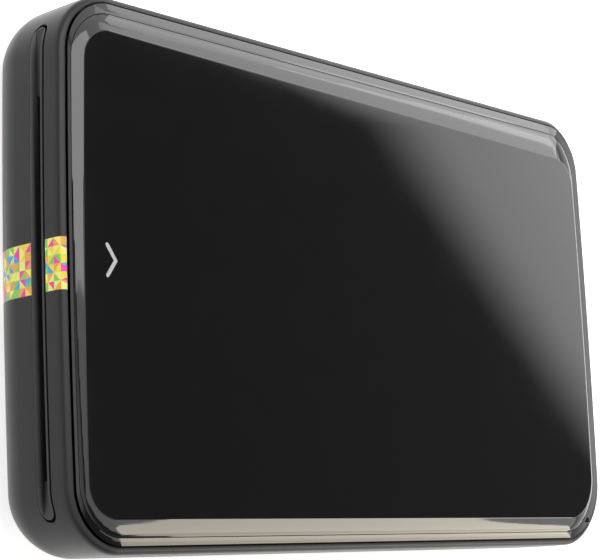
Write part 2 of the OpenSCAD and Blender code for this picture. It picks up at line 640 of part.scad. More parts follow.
// Gears on their shafts and studs
module platen_gear() color("#E9E6DA") at(platen_at) spur(platen_n, platen_turn, gear_y, gear_y + gear_t, shaft_d);
module feed_gear() color("#E9E6DA") at(feed_at) spur(feed_n, feed_turn, gear_y, gear_y + gear_t, shaft_d);
module pick_gear() color("#E9E6DA") at(pick_at) spur(pick_n, pick_turn, gear_y, gear_y + gear_t, shaft_d);
module idler(p, n, turn) at(p) spur(n, turn, gear_y, gear_y + gear_t, stud_d + 2 * run_gap);
module feed_idler_gear() color("#F2F0E6") idler(feed_idler_at, feed_idler_n, feed_idler_turn);
module pick_idler_gear() color("#F2F0E6") idler(pick_idler_at, pick_idler_n, pick_idler_turn);
module reduction_gear() color("#F2F0E6") at(reduction_at) {
    bore = stud_d + 2 * run_gap;
    spur(small_n, small_turn, gear_y, gear2_y, bore);
    spur(large_n, large_turn, gear2_y, gear2_y + gear_t, bore);
}
module gear_stud(p, y) at(p) {
    rod(stud_d, frame_y, y);
    rod(stud_d + 0.8, y, y + 0.3);
    rod(stud_d + 0.8, plate_y, plate_y + 0.3);
}
module gear_studs() color("#9A9DA1") {
    gear_stud(feed_idler_at, gear_y + gear_t + 0.15);
    gear_stud(pick_idler_at, gear_y + gear_t + 0.15);
    gear_stud(reduction_at, gear2_y + gear_t + 0.15);
}

// Motor
module motor_body() color("#9FA3A8") at(motor_at) difference() {
    union() {
        intersection() {
            rod(motor_d, frame_y - motor_l, frame_y);
            box([-motor_d, motor_d], [frame_y - motor_l, frame_y], [-motor_d * 0.45, motor_d * 0.45]);
        }
        rod(2.2, frame_y, plate_y);
    }
    rod(motor_shaft_d + 2 * run_gap, frame_y - 6, body_w);
    for (s = [-1, 1]) translate([s * 2.1, 0, 0]) rod(0.8, frame_y - 1.5, body_w);
}
module motor_shaft() color("#D0D2D5") at(motor_at) rod(motor_shaft_d, frame_y - 5.8, gear2_y + gear_t + 0.3);
module motor_pinion() color("#C7A25A") at(motor_at)
    spur(pinion_n, pinion_turn, gear2_y, gear2_y + gear_t, motor_shaft_d);
module motor_screws() color("#8C8F94") for (s = [-1, 1]) at(motor_at + s * [2.1, 0]) {
    rod(0.8, frame_y - 1.4, plate_y);
    rod(1.6, plate_y, plate_y + 0.4);
}
module motor_leads() for (k = [0, 1]) color(k == 0 ? "#B8302A" : "#26262A") {
    end = frame_y - motor_l;
    start_x = motor_at[0] - 0.8 + 1.6 * k;
    back_y = end - 2.2 + 1.2 * k;
    lane_y = motor_plug_y - 0.5 + 1.1 * k;
    wire([[start_x, end, motor_z + 0.6], [start_x, back_y, motor_z + 0.6],
        [motor_at[0] + 4.2, back_y, floor_z + 1.2], [motor_at[0] + 8, lane_y, floor_z + 1],
        [board_x - 4, lane_y, floor_z + 1], [board_x - 1.5, lane_y, top_z + 1],
        [board_x + 0.6, lane_y, top_z + 1]], 0.8);
}

// Print head
module head_ceramic_board() color("#E4E0D2") difference() {
    box([head_x, head_x + head_l], [-bay_w / 2, bay_w / 2], [head_z, head_z + ceramic_t]);
    box([platen_at[0] - 0.6, platen_at[0] + 0.6], [-bay_w / 2 + 1, bay_w / 2 - 1], [head_z - 1, head_z + 0.03]);
}
module head_heat_sink() color("#B4B8BD") difference() {
    union() {
        box([head_x, head_x + head_l], [-head_w / 2, head_w / 2], [sink_z, sink_z + sink_t]);
        box([head_x + head_l, pivot_at[0] + 1.1], [-head_w / 2, head_w / 2],
            [pivot_at[1] - 1.1, pivot_at[1] + 1.1]);
        for (s = [0, 180]) rotate([0, 0, s]) {
            x = s == 0 ? spring_at[0] : -spring_at[0];
            f = s == 0 ? [x - 0.6, x + 1.2] : [x - 1.2, x + 0.6];
            box(f, [spring_at[1] - 0.9, spring_at[1] + 0.7], [sink_z, sink_z + 0.6]);
        }
    }
    at(pivot_at) rod(pivot_d + 2 * run_gap, -body_w, body_w);
    for (x = [head_x + 1.6 : 1.6 : head_x + head_l - 2.4])
        box([x, x + 0.8], [-head_w / 2 + 3, head_w / 2 - 3], [sink_z + sink_t - 0.6, sink_z + sink_t + 1]);
}
module head_pivot_pin() color("#C3C6CA") at(pivot_at) rod(pivot_d, -plate_y, plate_y);
module head_springs() color("#C9CBCE") for (s = [-1, 1]) translate([spring_at[0], s * spring_at[1], 0])
    rotate_extrude() {
        n = 14;
        high = sink_z - 0.05;
        step = (high - spring_low) / n;
        translate([head_spring_d / 2 - 0.45, spring_low]) square([0.2, high - spring_low]);
        for (i = [0 : n - 1]) translate([head_spring_d / 2 - 0.2, spring_low + (i + 0.5) * step]) circle(0.2);
    }
module head_flat_cable() color("#D8D2C0") {
    top = sink_z + sink_t + 0.35;
    box(cable_x, [cable_y[0], -head_w / 2 + 7], [top, top + cable_t]);
    box(cable_x, cable_y, [cable_z, top + cable_t]);
    box([cable_x[0], board_x + 0.6], [cable_y[0], cable_y[0] + cable_w], [cable_z, cable_z + cable_t]);
}

// Paper sensor
module sensor_lever() color("#1E1E20") translate([0, lever_y, 0]) at(lever_at) difference() {
    union() {
        rod(2.2, -1, 1);
        box([-0.5, 0.5], [-0.5, 0.5], [-3, 4.9]);
        translate([0, 0, 4.9]) rod(1, -0.5, 0.5);
    }
    rod(1 + 2 * run_gap, -2, 2);
}
module sensor_pin() color("#C3C6CA") translate([0, lever_y, 0]) at(lever_at) rod(1, -2.5, 2.5);
module paper_sensor() color("#232326") difference() {
    x = [lever_at[0] - 2.2, lever_at[0] + 2.2];
    z = frame_z + sheet_t;
    union() {
        box(x, [lever_y - 2.5, lever_y + 2.5], [z, z + 0.8]);
        for (s = [-1, 1]) box(x, s > 0 ? [lever_y + 1.3, lever_y + 2.5] : [lever_y - 2.5, lever_y - 1.3],
            [z, lever_at[1] + 1]);
    }
    translate([0, lever_y, 0]) at(lever_at) rod(1, -3, 3);
}

// Main board and what is on it
module main_board() color("#1F4D36") difference() {
    box([board_x, board_x + board_l], [-board_w / 2, board_w / 2], [board_z, top_z]);
    for (p = board_holes) translate([p[0], p[1], 0]) cylinder(d = screw_d + 0.2, h = 9);
}
module board_screws() color("#8C8F94") for (p = board_holes)
    translate([p[0], p[1], 0]) screw(top_z, top_z - foot_proud - 0.7);
module board_parts() {
    color("#2A2A2D") translate([board_x + 7, -2, top_z]) {
        box([0, 7], [0, 7], [0, 0.9]);
        box([0, 5], [-8, -3], [0, 0.9]);
    }
    color("#8A8D92") for (k = [0 : 3]) translate([board_x + 4 + 3.2 * k, motor_plug_y + 4.5, top_z]) box([0, 1.6], [0, 0.9], [0, 0.6]);
    color("#8A8D92") for (k = [0 : 3]) translate([board_x + 6 + 2.4 * k, 8.5, top_z]) box([0, 1.2], [0, 0.7], [0, 0.5]);
    color("#46484C") translate([board_x + 8, board_edge - 2.5, top_z]) box([0, 4], [0, 4], [0, 2]);
    color("#E8E2CC") translate([board_x, motor_plug_y, top_z]) box([0.6, 3.4], [-2, 2], [0, 2]);
    color("#E8E2CC") translate([board_x, 0, 0])
        box([0.6, 4], [cable_y[0] - 0.3, cable_y[0] + cable_w + 0.3], [cable_z - 0.3, board_z]);
}
module radio_module() color("#BFC2C6") translate([board_x + 7, -board_w / 2 + 6, top_z]) {
    box([0, 9], [0, 9], [0, 0.6]);
    box([0.4, 8.6], [0.4, 6.6], [0.6, 1.8]);
}
module usb_socket() color("#B4B7BB") translate([usb_x, 0, top_z + usb_h / 2]) {
    difference() {
        box([0, usb_l], [-usb_w / 2, usb_w / 2], [-usb_h / 2, usb_h / 2]);
        box([1, usb_l + 1], [-usb_w / 2 + 0.3, usb_w / 2 - 0.3], [-usb_h / 2 + 0.3, usb_h / 2 - 0.3]);
    }
    box([1, usb_l - 0.8], [-2, 2], [0.1, 0.7]);
}
module power_switch() color("#2A2A2D") difference() {
    box([switch_x, switch_x + switch_l], [button_y - 3, button_y + 3], [top_z, button_z + 1.2]);
    translate([0, button_y, button_z]) rod_x(1.7, switch_x + 1.6, x_rear);
}
module switch_plunger() color("#D9D4C4") translate([0, button_y, button_z])
    rod_x(1.6, switch_x + 1.6 + button_travel + 0.1, switch_x + switch_l + 0.7);
module power_button() color("#3C3C3F") translate([0, button_y, button_z]) {
    pill_x(button_w, button_h, x_rear - 3.2, button_x);
    pill_x(button_w + 1.2, button_h + 1.2, x_rear - 3.6, x_rear - 2.8);
    rod_x(2.2, switch_x + switch_l + 0.7, x_rear - 3.4);
}
module reset_switch() color("#2A2A2D") difference() {
    box([x_rear - 8, x_rear - 5.2], [-reset_y - 1.7, -reset_y + 1.7], [top_z, top_z + 2]);
    translate([0, -reset_y, reset_z]) rod_x(0.9, x_rear - 6.6, x_rear);
}
module reset_plunger() color("#D9D4C4") translate([0, -reset_y, reset_z]) rod_x(0.8, x_rear - 6.2, x_rear - 4.5);
module status_lights() color("#F3F1E4") for (y = light_y)
    translate([x_rear - 6, y, top_z]) box([0, 1.2], [-0.8, 0.8], [0, 1.4]);
module light_pipes() color("#E6EAF0") for (y = light_y) translate([0, y, light_z]) {
    rod_x(pipe_d, x_rear - 4.6, x_rear - 0.9);
    rod_x(pipe_d + 0.8, x_rear - 3.8, x_rear - 3.2);
}

// Battery
module battery_cells() color("#C9CED6") for (k = [0, 1])
    translate([cell_x + cell_l / 2, cell_y + cell_w / 2 + k * (cell_w + cell_gap), 0])
        slab(cell_l, cell_w, 1.2, cell_z, cell_z + cell_t);
module battery_plug() color("#E8E2CC") translate([board_x, plug_y, top_z]) box([0.6, 3.4], [-2.4, 2.4], [0, 2.2]);
module battery_leads() for (k = [0, 1]) color(k == 0 ? "#B8302A" : "#26262A") wire([
    [cell_x + cell_l, plug_y - 3.6 + 3.6 * k, cell_z + cell_t / 2],
    [cell_x + cell_l + 1, plug_y - 3.6 + 3.6 * k, cell_z + cell_t / 2],
    [board_x - 1.5, plug_y - 0.8 + 1.6 * k, top_z + 1.2],
    [board_x + 0.6, plug_y - 0.8 + 1.6 * k, top_z + 1.2]], 1);
module tray_screws() color("#6B6E73") for (x = post_x, s = [-1, 1]) translate([x, s * post_y, 0]) mirror([0, 0, 1])
    screw(-foot_proud - 1.4, 5.2);

base_housing();
exit_bezel();
rating_plate();
rubber_feet();
top_cover();
cover_leaf_springs();
leaf_spring_rivets();
paper_tray();
cover_detent_spring();
roller_frame();
frame_screws();
platen_shaft();
platen_rubber();
shaft_bushes();
platen_gear();
feed_shaft();
feed_rubber();
feed_gear();
pinch_roller();
pinch_springs();
pick_shaft();
pick_tyres();
pick_gear();
feed_idler_gear();
pick_idler_gear();
reduction_gear();
gear_studs();
motor_body();
motor_shaft();
motor_pinion();
motor_screws();
motor_leads();
head_ceramic_board();
head_heat_sink();
head_pivot_pin();
head_springs();
head_flat_cable();
sensor_lever();
sensor_pin();
paper_sensor();
main_board();
board_parts();
radio_module();
usb_socket();
power_switch();
switch_plunger();
power_button();
reset_switch();
reset_plunger();
status_lights();
light_pipes();
board_screws();
battery_cells();
battery_plug();
battery_leads();
tray_screws();
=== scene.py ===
import math

import bmesh
import bpy
from mathutils import Matrix, Quaternion, Vector


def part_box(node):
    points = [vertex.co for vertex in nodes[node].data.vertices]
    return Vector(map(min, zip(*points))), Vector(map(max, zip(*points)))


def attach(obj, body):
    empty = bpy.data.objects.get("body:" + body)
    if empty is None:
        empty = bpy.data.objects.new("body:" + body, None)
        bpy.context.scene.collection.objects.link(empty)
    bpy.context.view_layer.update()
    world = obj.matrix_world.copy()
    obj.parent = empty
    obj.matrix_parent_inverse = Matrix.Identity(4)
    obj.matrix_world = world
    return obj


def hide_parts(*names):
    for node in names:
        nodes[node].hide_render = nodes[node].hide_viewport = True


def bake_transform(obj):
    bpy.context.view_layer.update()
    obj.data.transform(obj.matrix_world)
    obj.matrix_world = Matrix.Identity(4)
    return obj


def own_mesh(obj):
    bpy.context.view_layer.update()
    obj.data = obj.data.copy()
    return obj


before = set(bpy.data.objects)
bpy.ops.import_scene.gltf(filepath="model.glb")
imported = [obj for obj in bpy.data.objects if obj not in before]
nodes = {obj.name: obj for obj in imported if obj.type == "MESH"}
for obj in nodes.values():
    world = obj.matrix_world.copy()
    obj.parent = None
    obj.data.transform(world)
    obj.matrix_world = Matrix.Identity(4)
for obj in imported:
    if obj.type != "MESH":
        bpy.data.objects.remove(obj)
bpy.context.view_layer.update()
scene = bpy.context.scene
mm = 0.001
perMetre = 1000.0  # object coordinates times this are millimetres
print("frame loaded:", len(nodes), "nodes")


# Colours, nodes and plain finishes
def colour(text, level=1.0):
    parts = [int(text[i:i + 2], 16) / 255 for i in (1, 3, 5)]
    parts = [c / 12.92 if c < 0.04045 else ((c + 0.055) / 1.055) ** 2.4 for c in parts]
    return [min(1.0, c * level) for c in parts] + [1.0]


def add(tree, kind, inputs=None, **settings):
    node = tree.nodes.new("ShaderNode" + kind)
    for key, value in settings.items():
        setattr(node, key, value)
    for key, value in (inputs or {}).items():
        if isinstance(value, bpy.types.NodeSocket):
            tree.links.new(value, node.inputs[key])
        else:
            node.inputs[key].default_value = value
    return node


def calc(tree, operation, *values, clamp=False):
    node = add(tree, "Math", dict(enumerate(values)), operation=operation, use_clamp=clamp)
    return node.outputs[0]


def blend(tree, share, first, second, kind="MIX"):
    node = add(tree, "Mix", {0: share, 6: first, 7: second}, data_type="RGBA", blend_type=kind)
    return node.outputs[2]


def spread(tree, value, low, high, newLow, newHigh, kind="LINEAR"):
    node = add(tree, "MapRange", {0: value, 1: low, 2: high, 3: newLow, 4: newHigh},
               interpolation_type=kind)
    return node.outputs[0]


# Node groups that every finish shares
def newGroup(name, inputs, outputs):
    group = bpy.data.node_groups.new(name, "ShaderNodeTree")
    for side, sockets in (("INPUT", inputs), ("OUTPUT", outputs)):
        for label, kind in sockets:
            group.interface.new_socket(label, in_out=side, socket_type="NodeSocket" + kind)
    return group, group.nodes.new("NodeGroupInput").outputs, group.nodes.new("NodeGroupOutput").inputs


def grey(tree, value):
    return add(tree, "CombineColor", {0: value, 1: value, 2: value}).outputs[0]


noise = {"mottleDetail": 4.0, "mottleRange": (0.3, 0.7), "grainDetail": 3.0, "grainRange": (0.35, 0.7)}

# Mottle: large soft patches that shift the colour and the gloss together
mottle, given, made = newGroup("mottle", [("Vector", "Vector"), ("Scale", "Float"), ("Tone", "Color"),
                                          ("Vary", "Float"), ("Rough", "Float"), ("Swing", "Float")],
                               [("Color", "Color"), ("Roughness", "Float")])
patch = add(mottle, "TexNoise", {"Vector": given["Vector"], "Scale": given["Scale"],
                                 "Detail": noise["mottleDetail"]})
swingShare = spread(mottle, patch.outputs["Fac"], *noise["mottleRange"], -1.0, 1.0)
level = calc(mottle, "MULTIPLY_ADD", swingShare, given["Vary"], 1.0)
mottle.links.new(blend(mottle, 1.0, given["Tone"], grey(mottle, level), "MULTIPLY"), made["Color"])
mottle.links.new(calc(mottle, "MULTIPLY_ADD", swingShare, given["Swing"], given["Rough"]),
                 made["Roughness"])

# Grain: fine flecks, drawn out along an axis where the stretch asks for it
grain, given, made = newGroup("grain", [("Vector", "Vector"), ("Stretch", "Vector"), ("Scale", "Float"),
                                        ("Tone", "Color"), ("Fleck", "Float")],
                              [("Color", "Color"), ("Height", "Float")])
drawn = add(grain, "Mapping", {"Vector": given["Vector"], "Scale": given["Stretch"]})
speck = add(grain, "TexNoise", {"Vector": drawn.outputs[0], "Scale": given["Scale"],
                                "Detail": noise["grainDetail"]})
lack = spread(grain, speck.outputs["Fac"], *noise["grainRange"], -1.0, 0.0)
level = calc(grain, "MULTIPLY_ADD", lack, given["Fleck"], 1.0)
grain.links.new(blend(grain, 1.0, given["Tone"], grey(grain, level), "MULTIPLY"), made["Color"])
grain.links.new(speck.outputs["Fac"], made["Height"])


# What a finish has where its own entry says nothing else; depth and soft are in millimetres
plainLook = {"blotch": 110, "vary": 0.08, "rough": 0.5, "swing": 0.05, "drawn": (1, 1, 1), "grain": 2600,
             "fleck": 0.05, "depth": 0.012, "bump": 0.7, "soft": 0.12, "softSamples": 4, "metal": 0.0,
             "ior": 1.5, "sheen": 0.0, "sheenRough": 0.3, "clear": 0.0, "brushed": 0.0, "extra": None}
shaderSockets = {"metal": "Metallic", "ior": "IOR", "sheen": "Sheen Weight",
                 "sheenRough": "Sheen Roughness",
                 "clear": "Transmission Weight", "brushed": "Anisotropic"}


# One finish: mottled colour, uneven gloss and a fine bump, all from Object coordinates
def finish(name, ownLook):
    look = {**plainLook, **ownLook}
    material = bpy.data.materials.new(name)
    material.use_nodes = True
    tree = material.node_tree
    shader = tree.nodes["Principled BSDF"]
    where = add(tree, "TexCoord").outputs["Object"]
    patches = add(tree, "Group", {"Vector": where, "Scale": look["blotch"], "Tone": colour(look["tone"]),
                                  "Vary": look["vary"], "Rough": look["rough"],
                                  "Swing": look["swing"]}, node_tree=mottle)
    flecks = add(tree, "Group", {"Vector": where, "Stretch": look["drawn"], "Scale": look["grain"],
                                 "Tone": patches.outputs["Color"], "Fleck": look["fleck"]},
                 node_tree=grain)
    tone, gloss = flecks.outputs["Color"], patches.outputs["Roughness"]
    if look["extra"]:
        tone, gloss = look["extra"](tree, where, tone, gloss)
    tree.links.new(tone, shader.inputs["Base Color"])
    tree.links.new(gloss, shader.inputs["Roughness"])
    if look["depth"]:
        bump = add(tree, "Bump", {"Height": flecks.outputs["Height"], "Distance": look["depth"] * mm,
                                  "Strength": look["bump"]})
        if look["soft"]:
            edge = add(tree, "Bevel", {"Radius": look["soft"] * mm}, samples=look["softSamples"])
            tree.links.new(edge.outputs[0], bump.inputs["Normal"])
        tree.links.new(bump.outputs[0], shader.inputs["Normal"])
    for key, socket in shaderSockets.items():
        shader.inputs[socket].default_value = look[key]
    return material


# The coloured band round the exit end: a mosaic of small triangles
bandLook = {"low": -3.49, "high": 3.33, "cell": 1.137, "bend": 8.4, "start": -50.0, "arcX": -52.0,
            "arcRadius": 8.0, "least": 0.001, "halfKey": 7.0,
            "tones": ["#FF4FBF", "#FFB45A", "#FFE94A", "#FFFD85", "#90D866", "#45B5F5"]}


def addBand(tree, where, tone, gloss):
    part = add(tree, "SeparateXYZ", {0: where})
    x, y, z = [calc(tree, "MULTIPLY", socket, perMetre) for socket in part.outputs]
    drop = calc(tree, "MAXIMUM", calc(tree, "SUBTRACT", bandLook["bend"], z), 0.0)
    out = calc(tree, "MAXIMUM", calc(tree, "SUBTRACT", bandLook["arcX"], x), bandLook["least"])
    arc = calc(tree, "MULTIPLY", calc(tree, "ARCTAN2", drop, out), bandLook["arcRadius"])
    along = calc(tree, "SUBTRACT", calc(tree, "MAXIMUM", z, bandLook["bend"]), arc)
    u = calc(tree, "DIVIDE", calc(tree, "SUBTRACT", y, bandLook["low"]), bandLook["cell"])
    v = calc(tree, "DIVIDE", along, bandLook["cell"])
    uCell, vCell = [calc(tree, "FLOOR", value) for value in (u, v)]
    uPart, vPart = [calc(tree, "FRACT", value) for value in (u, v)]
    odd = calc(tree, "MODULO", calc(tree, "ABSOLUTE", calc(tree, "ADD", uCell, vCell)), 2.0)
    odd = calc(tree, "GREATER_THAN", odd, 0.5)
    rising = calc(tree, "GREATER_THAN", uPart, vPart)
    falling = calc(tree, "GREATER_THAN", calc(tree, "ADD", uPart, vPart), 1.0)
    turned = calc(tree, "SUBTRACT", falling, rising)
    side = calc(tree, "ADD", rising, calc(tree, "MULTIPLY", odd, turned))
    half = calc(tree, "MULTIPLY", side, bandLook["halfKey"])
    key = add(tree, "CombineXYZ", {0: uCell, 1: vCell, 2: half})
    pick = add(tree, "TexWhiteNoise", {"Vector": key.outputs[0]}, noise_dimensions="3D")
    ramp = add(tree, "ValToRGB", {0: pick.outputs["Value"]})
    ramp.color_ramp.interpolation = "CONSTANT"
    tones = bandLook["tones"]
    for i, text in enumerate(tones):
        stop = ramp.color_ramp.elements[i] if i < 2 else ramp.color_ramp.elements.new(i / len(tones))
        stop.position = i / len(tones)
        stop.color = colour(text)
    inside = calc(tree, "MULTIPLY", calc(tree, "GREATER_THAN", y, bandLook["low"]),
                  calc(tree, "LESS_THAN", y, bandLook["high"]))
    inside = calc(tree, "MULTIPLY", inside, calc(tree, "LESS_THAN", x, bandLook["start"]))
    tone = blend(tree, inside, tone, ramp.outputs[0])
    return tone, gloss


# The arrow mark at the exit end of the cover: two strokes with round ends
arrowLook = {"tip": (-52.2, 0.64), "run": (-1.4, 2.0), "half": 0.28, "above": 18.5, "rough": 0.45,
             "tone": "#B5B5B5"}


def addArrow(tree, where, tone, gloss):
    part = add(tree, "SeparateXYZ", {0: where})
    x = calc(tree, "MULTIPLY_ADD", part.outputs[0], perMetre, -arrowLook["tip"][0])
    y = calc(tree, "MULTIPLY_ADD", part.outputs[1], perMetre, -arrowLook["tip"][1])
    y = calc(tree, "ABSOLUTE", y)
    runX, runY = arrowLook["run"]
    length = runX * runX + runY * runY
    dot = calc(tree, "ADD", calc(tree, "MULTIPLY", x, runX / length),
               calc(tree, "MULTIPLY", y, runY / length))
    dot = calc(tree, "ADD", dot, 0.0, clamp=True)
    offX = calc(tree, "SUBTRACT", x, calc(tree, "MULTIPLY", dot, runX))
    offY = calc(tree, "SUBTRACT", y, calc(tree, "MULTIPLY", dot, runY))
    far = calc(tree, "SQRT", calc(tree, "ADD", calc(tree, "MULTIPLY", offX, offX),
                                  calc(tree, "MULTIPLY", offY, offY)))
    mark = calc(tree, "LESS_THAN", far, arrowLook["half"])
    onTop = calc(tree, "GREATER_THAN", part.outputs[2], arrowLook["above"] * mm)
    mark = calc(tree, "MULTIPLY", mark, onTop)
    tone = blend(tree, mark, tone, colour(arrowLook["tone"]))
    gloss = calc(tree, "MAXIMUM", gloss, calc(tree, "MULTIPLY", mark, arrowLook["rough"]))
    return tone, gloss


# Insulation of the leads: one wire red, the other black, split along Y where they run
leadLook = {"batteryBelow": 6.5, "motorSplit": 12.95, "batteryShift": -10.35, "second": "#1C1C1F"}


def addLeadTones(tree, where, tone, gloss):
    part = add(tree, "SeparateXYZ", {0: where})
    battery = calc(tree, "LESS_THAN", part.outputs[1], leadLook["batteryBelow"] * mm)
    shift = calc(tree, "MULTIPLY", battery, leadLook["batteryShift"] * mm)
    split = calc(tree, "ADD", leadLook["motorSplit"] * mm, shift)
    black = calc(tree, "GREATER_THAN", part.outputs[1], split)
    return blend(tree, black, tone, colour(leadLook["second"])), gloss


# Solder mask with copper runs under it and bare pads
traceLook = {"flatten": (1, 1, 0.02), "scale": 420.0, "run": 0.035, "width": 1.3, "row": 0.5,
             "runTone": "#3C8A62", "padScale": 700.0, "padSize": 0.16, "padTone": "#C9A24A"}


def addTraces(tree, where, tone, gloss):
    flat = add(tree, "Mapping", {"Vector": where, "Scale": traceLook["flatten"]}).outputs[0]
    brick = add(tree, "TexBrick", {"Vector": flat, "Color1": (0, 0, 0, 1), "Color2": (0.5, 0.5, 0.5, 1),
                                   "Mortar": (1, 1, 1, 1), "Scale": traceLook["scale"],
                                   "Mortar Size": traceLook["run"], "Brick Width": traceLook["width"],
                                   "Row Height": traceLook["row"]})
    tone = blend(tree, brick.outputs["Fac"], tone, colour(traceLook["runTone"]))
    dots = add(tree, "TexVoronoi", {"Vector": flat, "Scale": traceLook["padScale"]})
    pad = calc(tree, "LESS_THAN", dots.outputs["Distance"], traceLook["padSize"])
    return blend(tree, pad, tone, colour(traceLook["padTone"])), gloss


# Amber tape over the sealed ends of the cells
tapeLook = {"from": 26.5, "tone": "#B5762A"}


def addTape(tree, where, tone, gloss):
    part = add(tree, "SeparateXYZ", {0: where})
    tape = calc(tree, "GREATER_THAN", part.outputs[0], tapeLook["from"] * mm)
    return blend(tree, tape, tone, colour(tapeLook["tone"])), gloss


looks = {
    "housing_plastic": {"tone": "#121214", "ior": 1.33, "rough": 0.38, "swing": 0.03, "vary": 0.04,
                        "grain": 5200, "fleck": 0.04, "depth": 0.006, "soft": 0, "sheen": 0.5,
                        "extra": addBand},
    "cover_gloss": {"tone": "#0C0C0D", "rough": 0.045, "swing": 0.012, "vary": 0.05, "grain": 700,
                    "fleck": 0.02, "depth": 0.0, "extra": addArrow},
    "trim_plastic": {"tone": "#111112", "ior": 1.42, "rough": 0.4, "vary": 0.06, "grain": 4200,
                     "depth": 0.004, "soft": 0},
    "inner_plastic": {"tone": "#2B2B2E", "rough": 0.5, "vary": 0.08, "grain": 3600, "depth": 0.01},
    "button_plastic": {"tone": "#303033", "rough": 0.36, "vary": 0.05, "grain": 4000, "depth": 0.004},
    "plate_film": {"tone": "#2A2A2C", "rough": 0.38, "vary": 0.05, "grain": 2400, "depth": 0.004,
                   "drawn": (0.1, 1, 1)},
    "foot_rubber": {"tone": "#1A1A1B", "rough": 0.72, "vary": 0.12, "grain": 3000, "depth": 0.02},
    "roller_rubber": {"tone": "#303136", "rough": 0.66, "vary": 0.1, "grain": 3200, "depth": 0.02},
    "spring_steel": {"tone": "#B9BCC0", "rough": 0.26, "metal": 1.0, "grain": 900, "drawn": (1, 8, 8),
                     "depth": 0.004, "brushed": 0.3},
    "frame_steel": {"tone": "#A9ACB0", "rough": 0.33, "metal": 1.0, "grain": 500, "drawn": (1, 9, 9),
                    "blotch": 60, "vary": 0.12, "depth": 0.004, "brushed": 0.3},
    "shaft_steel": {"tone": "#C3C6CA", "rough": 0.18, "metal": 1.0, "grain": 800, "drawn": (9, 1, 9),
                    "depth": 0.002},
    "screw_steel": {"tone": "#85888D", "rough": 0.3, "metal": 1.0, "grain": 1800, "depth": 0.006},
    "motor_steel": {"tone": "#9FA3A8", "rough": 0.27, "metal": 1.0, "grain": 700, "drawn": (9, 1, 9),
                    "depth": 0.003},
    "bronze": {"tone": "#B08A4A", "rough": 0.38, "metal": 1.0, "vary": 0.16, "grain": 3200},
    "pinion_brass": {"tone": "#C7A25A", "rough": 0.24, "metal": 1.0, "vary": 0.1, "grain": 2200,
                     "depth": 0.004},
    "gear_plastic": {"tone": "#E6E2D4", "rough": 0.42, "vary": 0.04, "grain": 2600, "depth": 0.008},
    "ceramic": {"tone": "#E4E0D2", "rough": 0.3, "vary": 0.04, "grain": 3600, "depth": 0.006},
    "heat_sink_aluminium": {"tone": "#B4B8BD", "rough": 0.36, "metal": 1.0, "grain": 600,
                            "drawn": (9, 1, 9), "depth": 0.006, "brushed": 0.3},
    "flat_cable": {"tone": "#D8D2C0", "rough": 0.4, "vary": 0.05, "grain": 900, "drawn": (1, 14, 14),
                   "fleck": 0.35, "depth": 0.01},
    "board_green": {"tone": "#1B4A33", "rough": 0.34, "vary": 0.1, "grain": 2600, "depth": 0.006,
                    "extra": addTraces},
    "chip_black": {"tone": "#232326", "rough": 0.48, "vary": 0.1, "grain": 3600, "depth": 0.01},
    "radio_can": {"tone": "#B7BABE", "rough": 0.3, "metal": 1.0, "grain": 1200, "depth": 0.004},
    "connector_white": {"tone": "#E4DFCF", "rough": 0.45, "vary": 0.05, "grain": 2600, "depth": 0.008},
    "clear_plastic": {"tone": "#E6EAF0", "rough": 0.16, "clear": 0.85, "grain": 2600, "depth": 0.004},
    "lead_wire": {"tone": "#A82A25", "rough": 0.42, "vary": 0.08, "grain": 3000, "depth": 0.008,
                  "extra": addLeadTones},
    "cell_foil": {"tone": "#B9BDC4", "rough": 0.32, "metal": 0.85, "blotch": 260, "vary": 0.14,
                  "grain": 1500, "depth": 0.02, "extra": addTape},
}
finishes = {name: finish(name + ".look", look) for name, look in looks.items()}
for obj in nodes.values():
    for i, given in enumerate(obj.data.materials):
        obj.data.materials[i] = finishes[given.name]
print("finishes made:", len(finishes))


# Meshes: rings carried from level to level, cuts, and the slight bow of both ends
weld = {"ring": 1e-5, "cut": 1e-4}  # points closer than this, in millimetres, become one


def ringPlan(cornerSteps, longSteps, endSteps):
    plan = []
    for i in range(4):
        plan += [("corner", i, s / cornerSteps) for s in range(cornerSteps + 1)]
        steps = endSteps if i % 2 else longSteps
        plan += [("side", i, s / steps) for s in range(1, steps)]
    return plan


# A point of a rounded rectangle; rounder is what the corner at high x and low y has over the others
def onOutline(item, low, high, radius, rounder=0.0):
    kind, i, t = item
    if kind == "side":
        start = onOutline(("corner", i, 1.0), low, high, radius, rounder)
        end = onOutline(("corner", (i + 1) % 4, 0.0), low, high, radius, rounder)
        return start.lerp(end, t)
    radius += rounder if i == 3 else 0.0
    across = high[0] - radius if i in (0, 3) else low[0] + radius
    up = high[1] - radius if i in (0, 1) else low[1] + radius
    angle = math.radians(90 * (i + t))
    return Vector((across + radius * math.cos(angle), up + radius * math.sin(angle)))


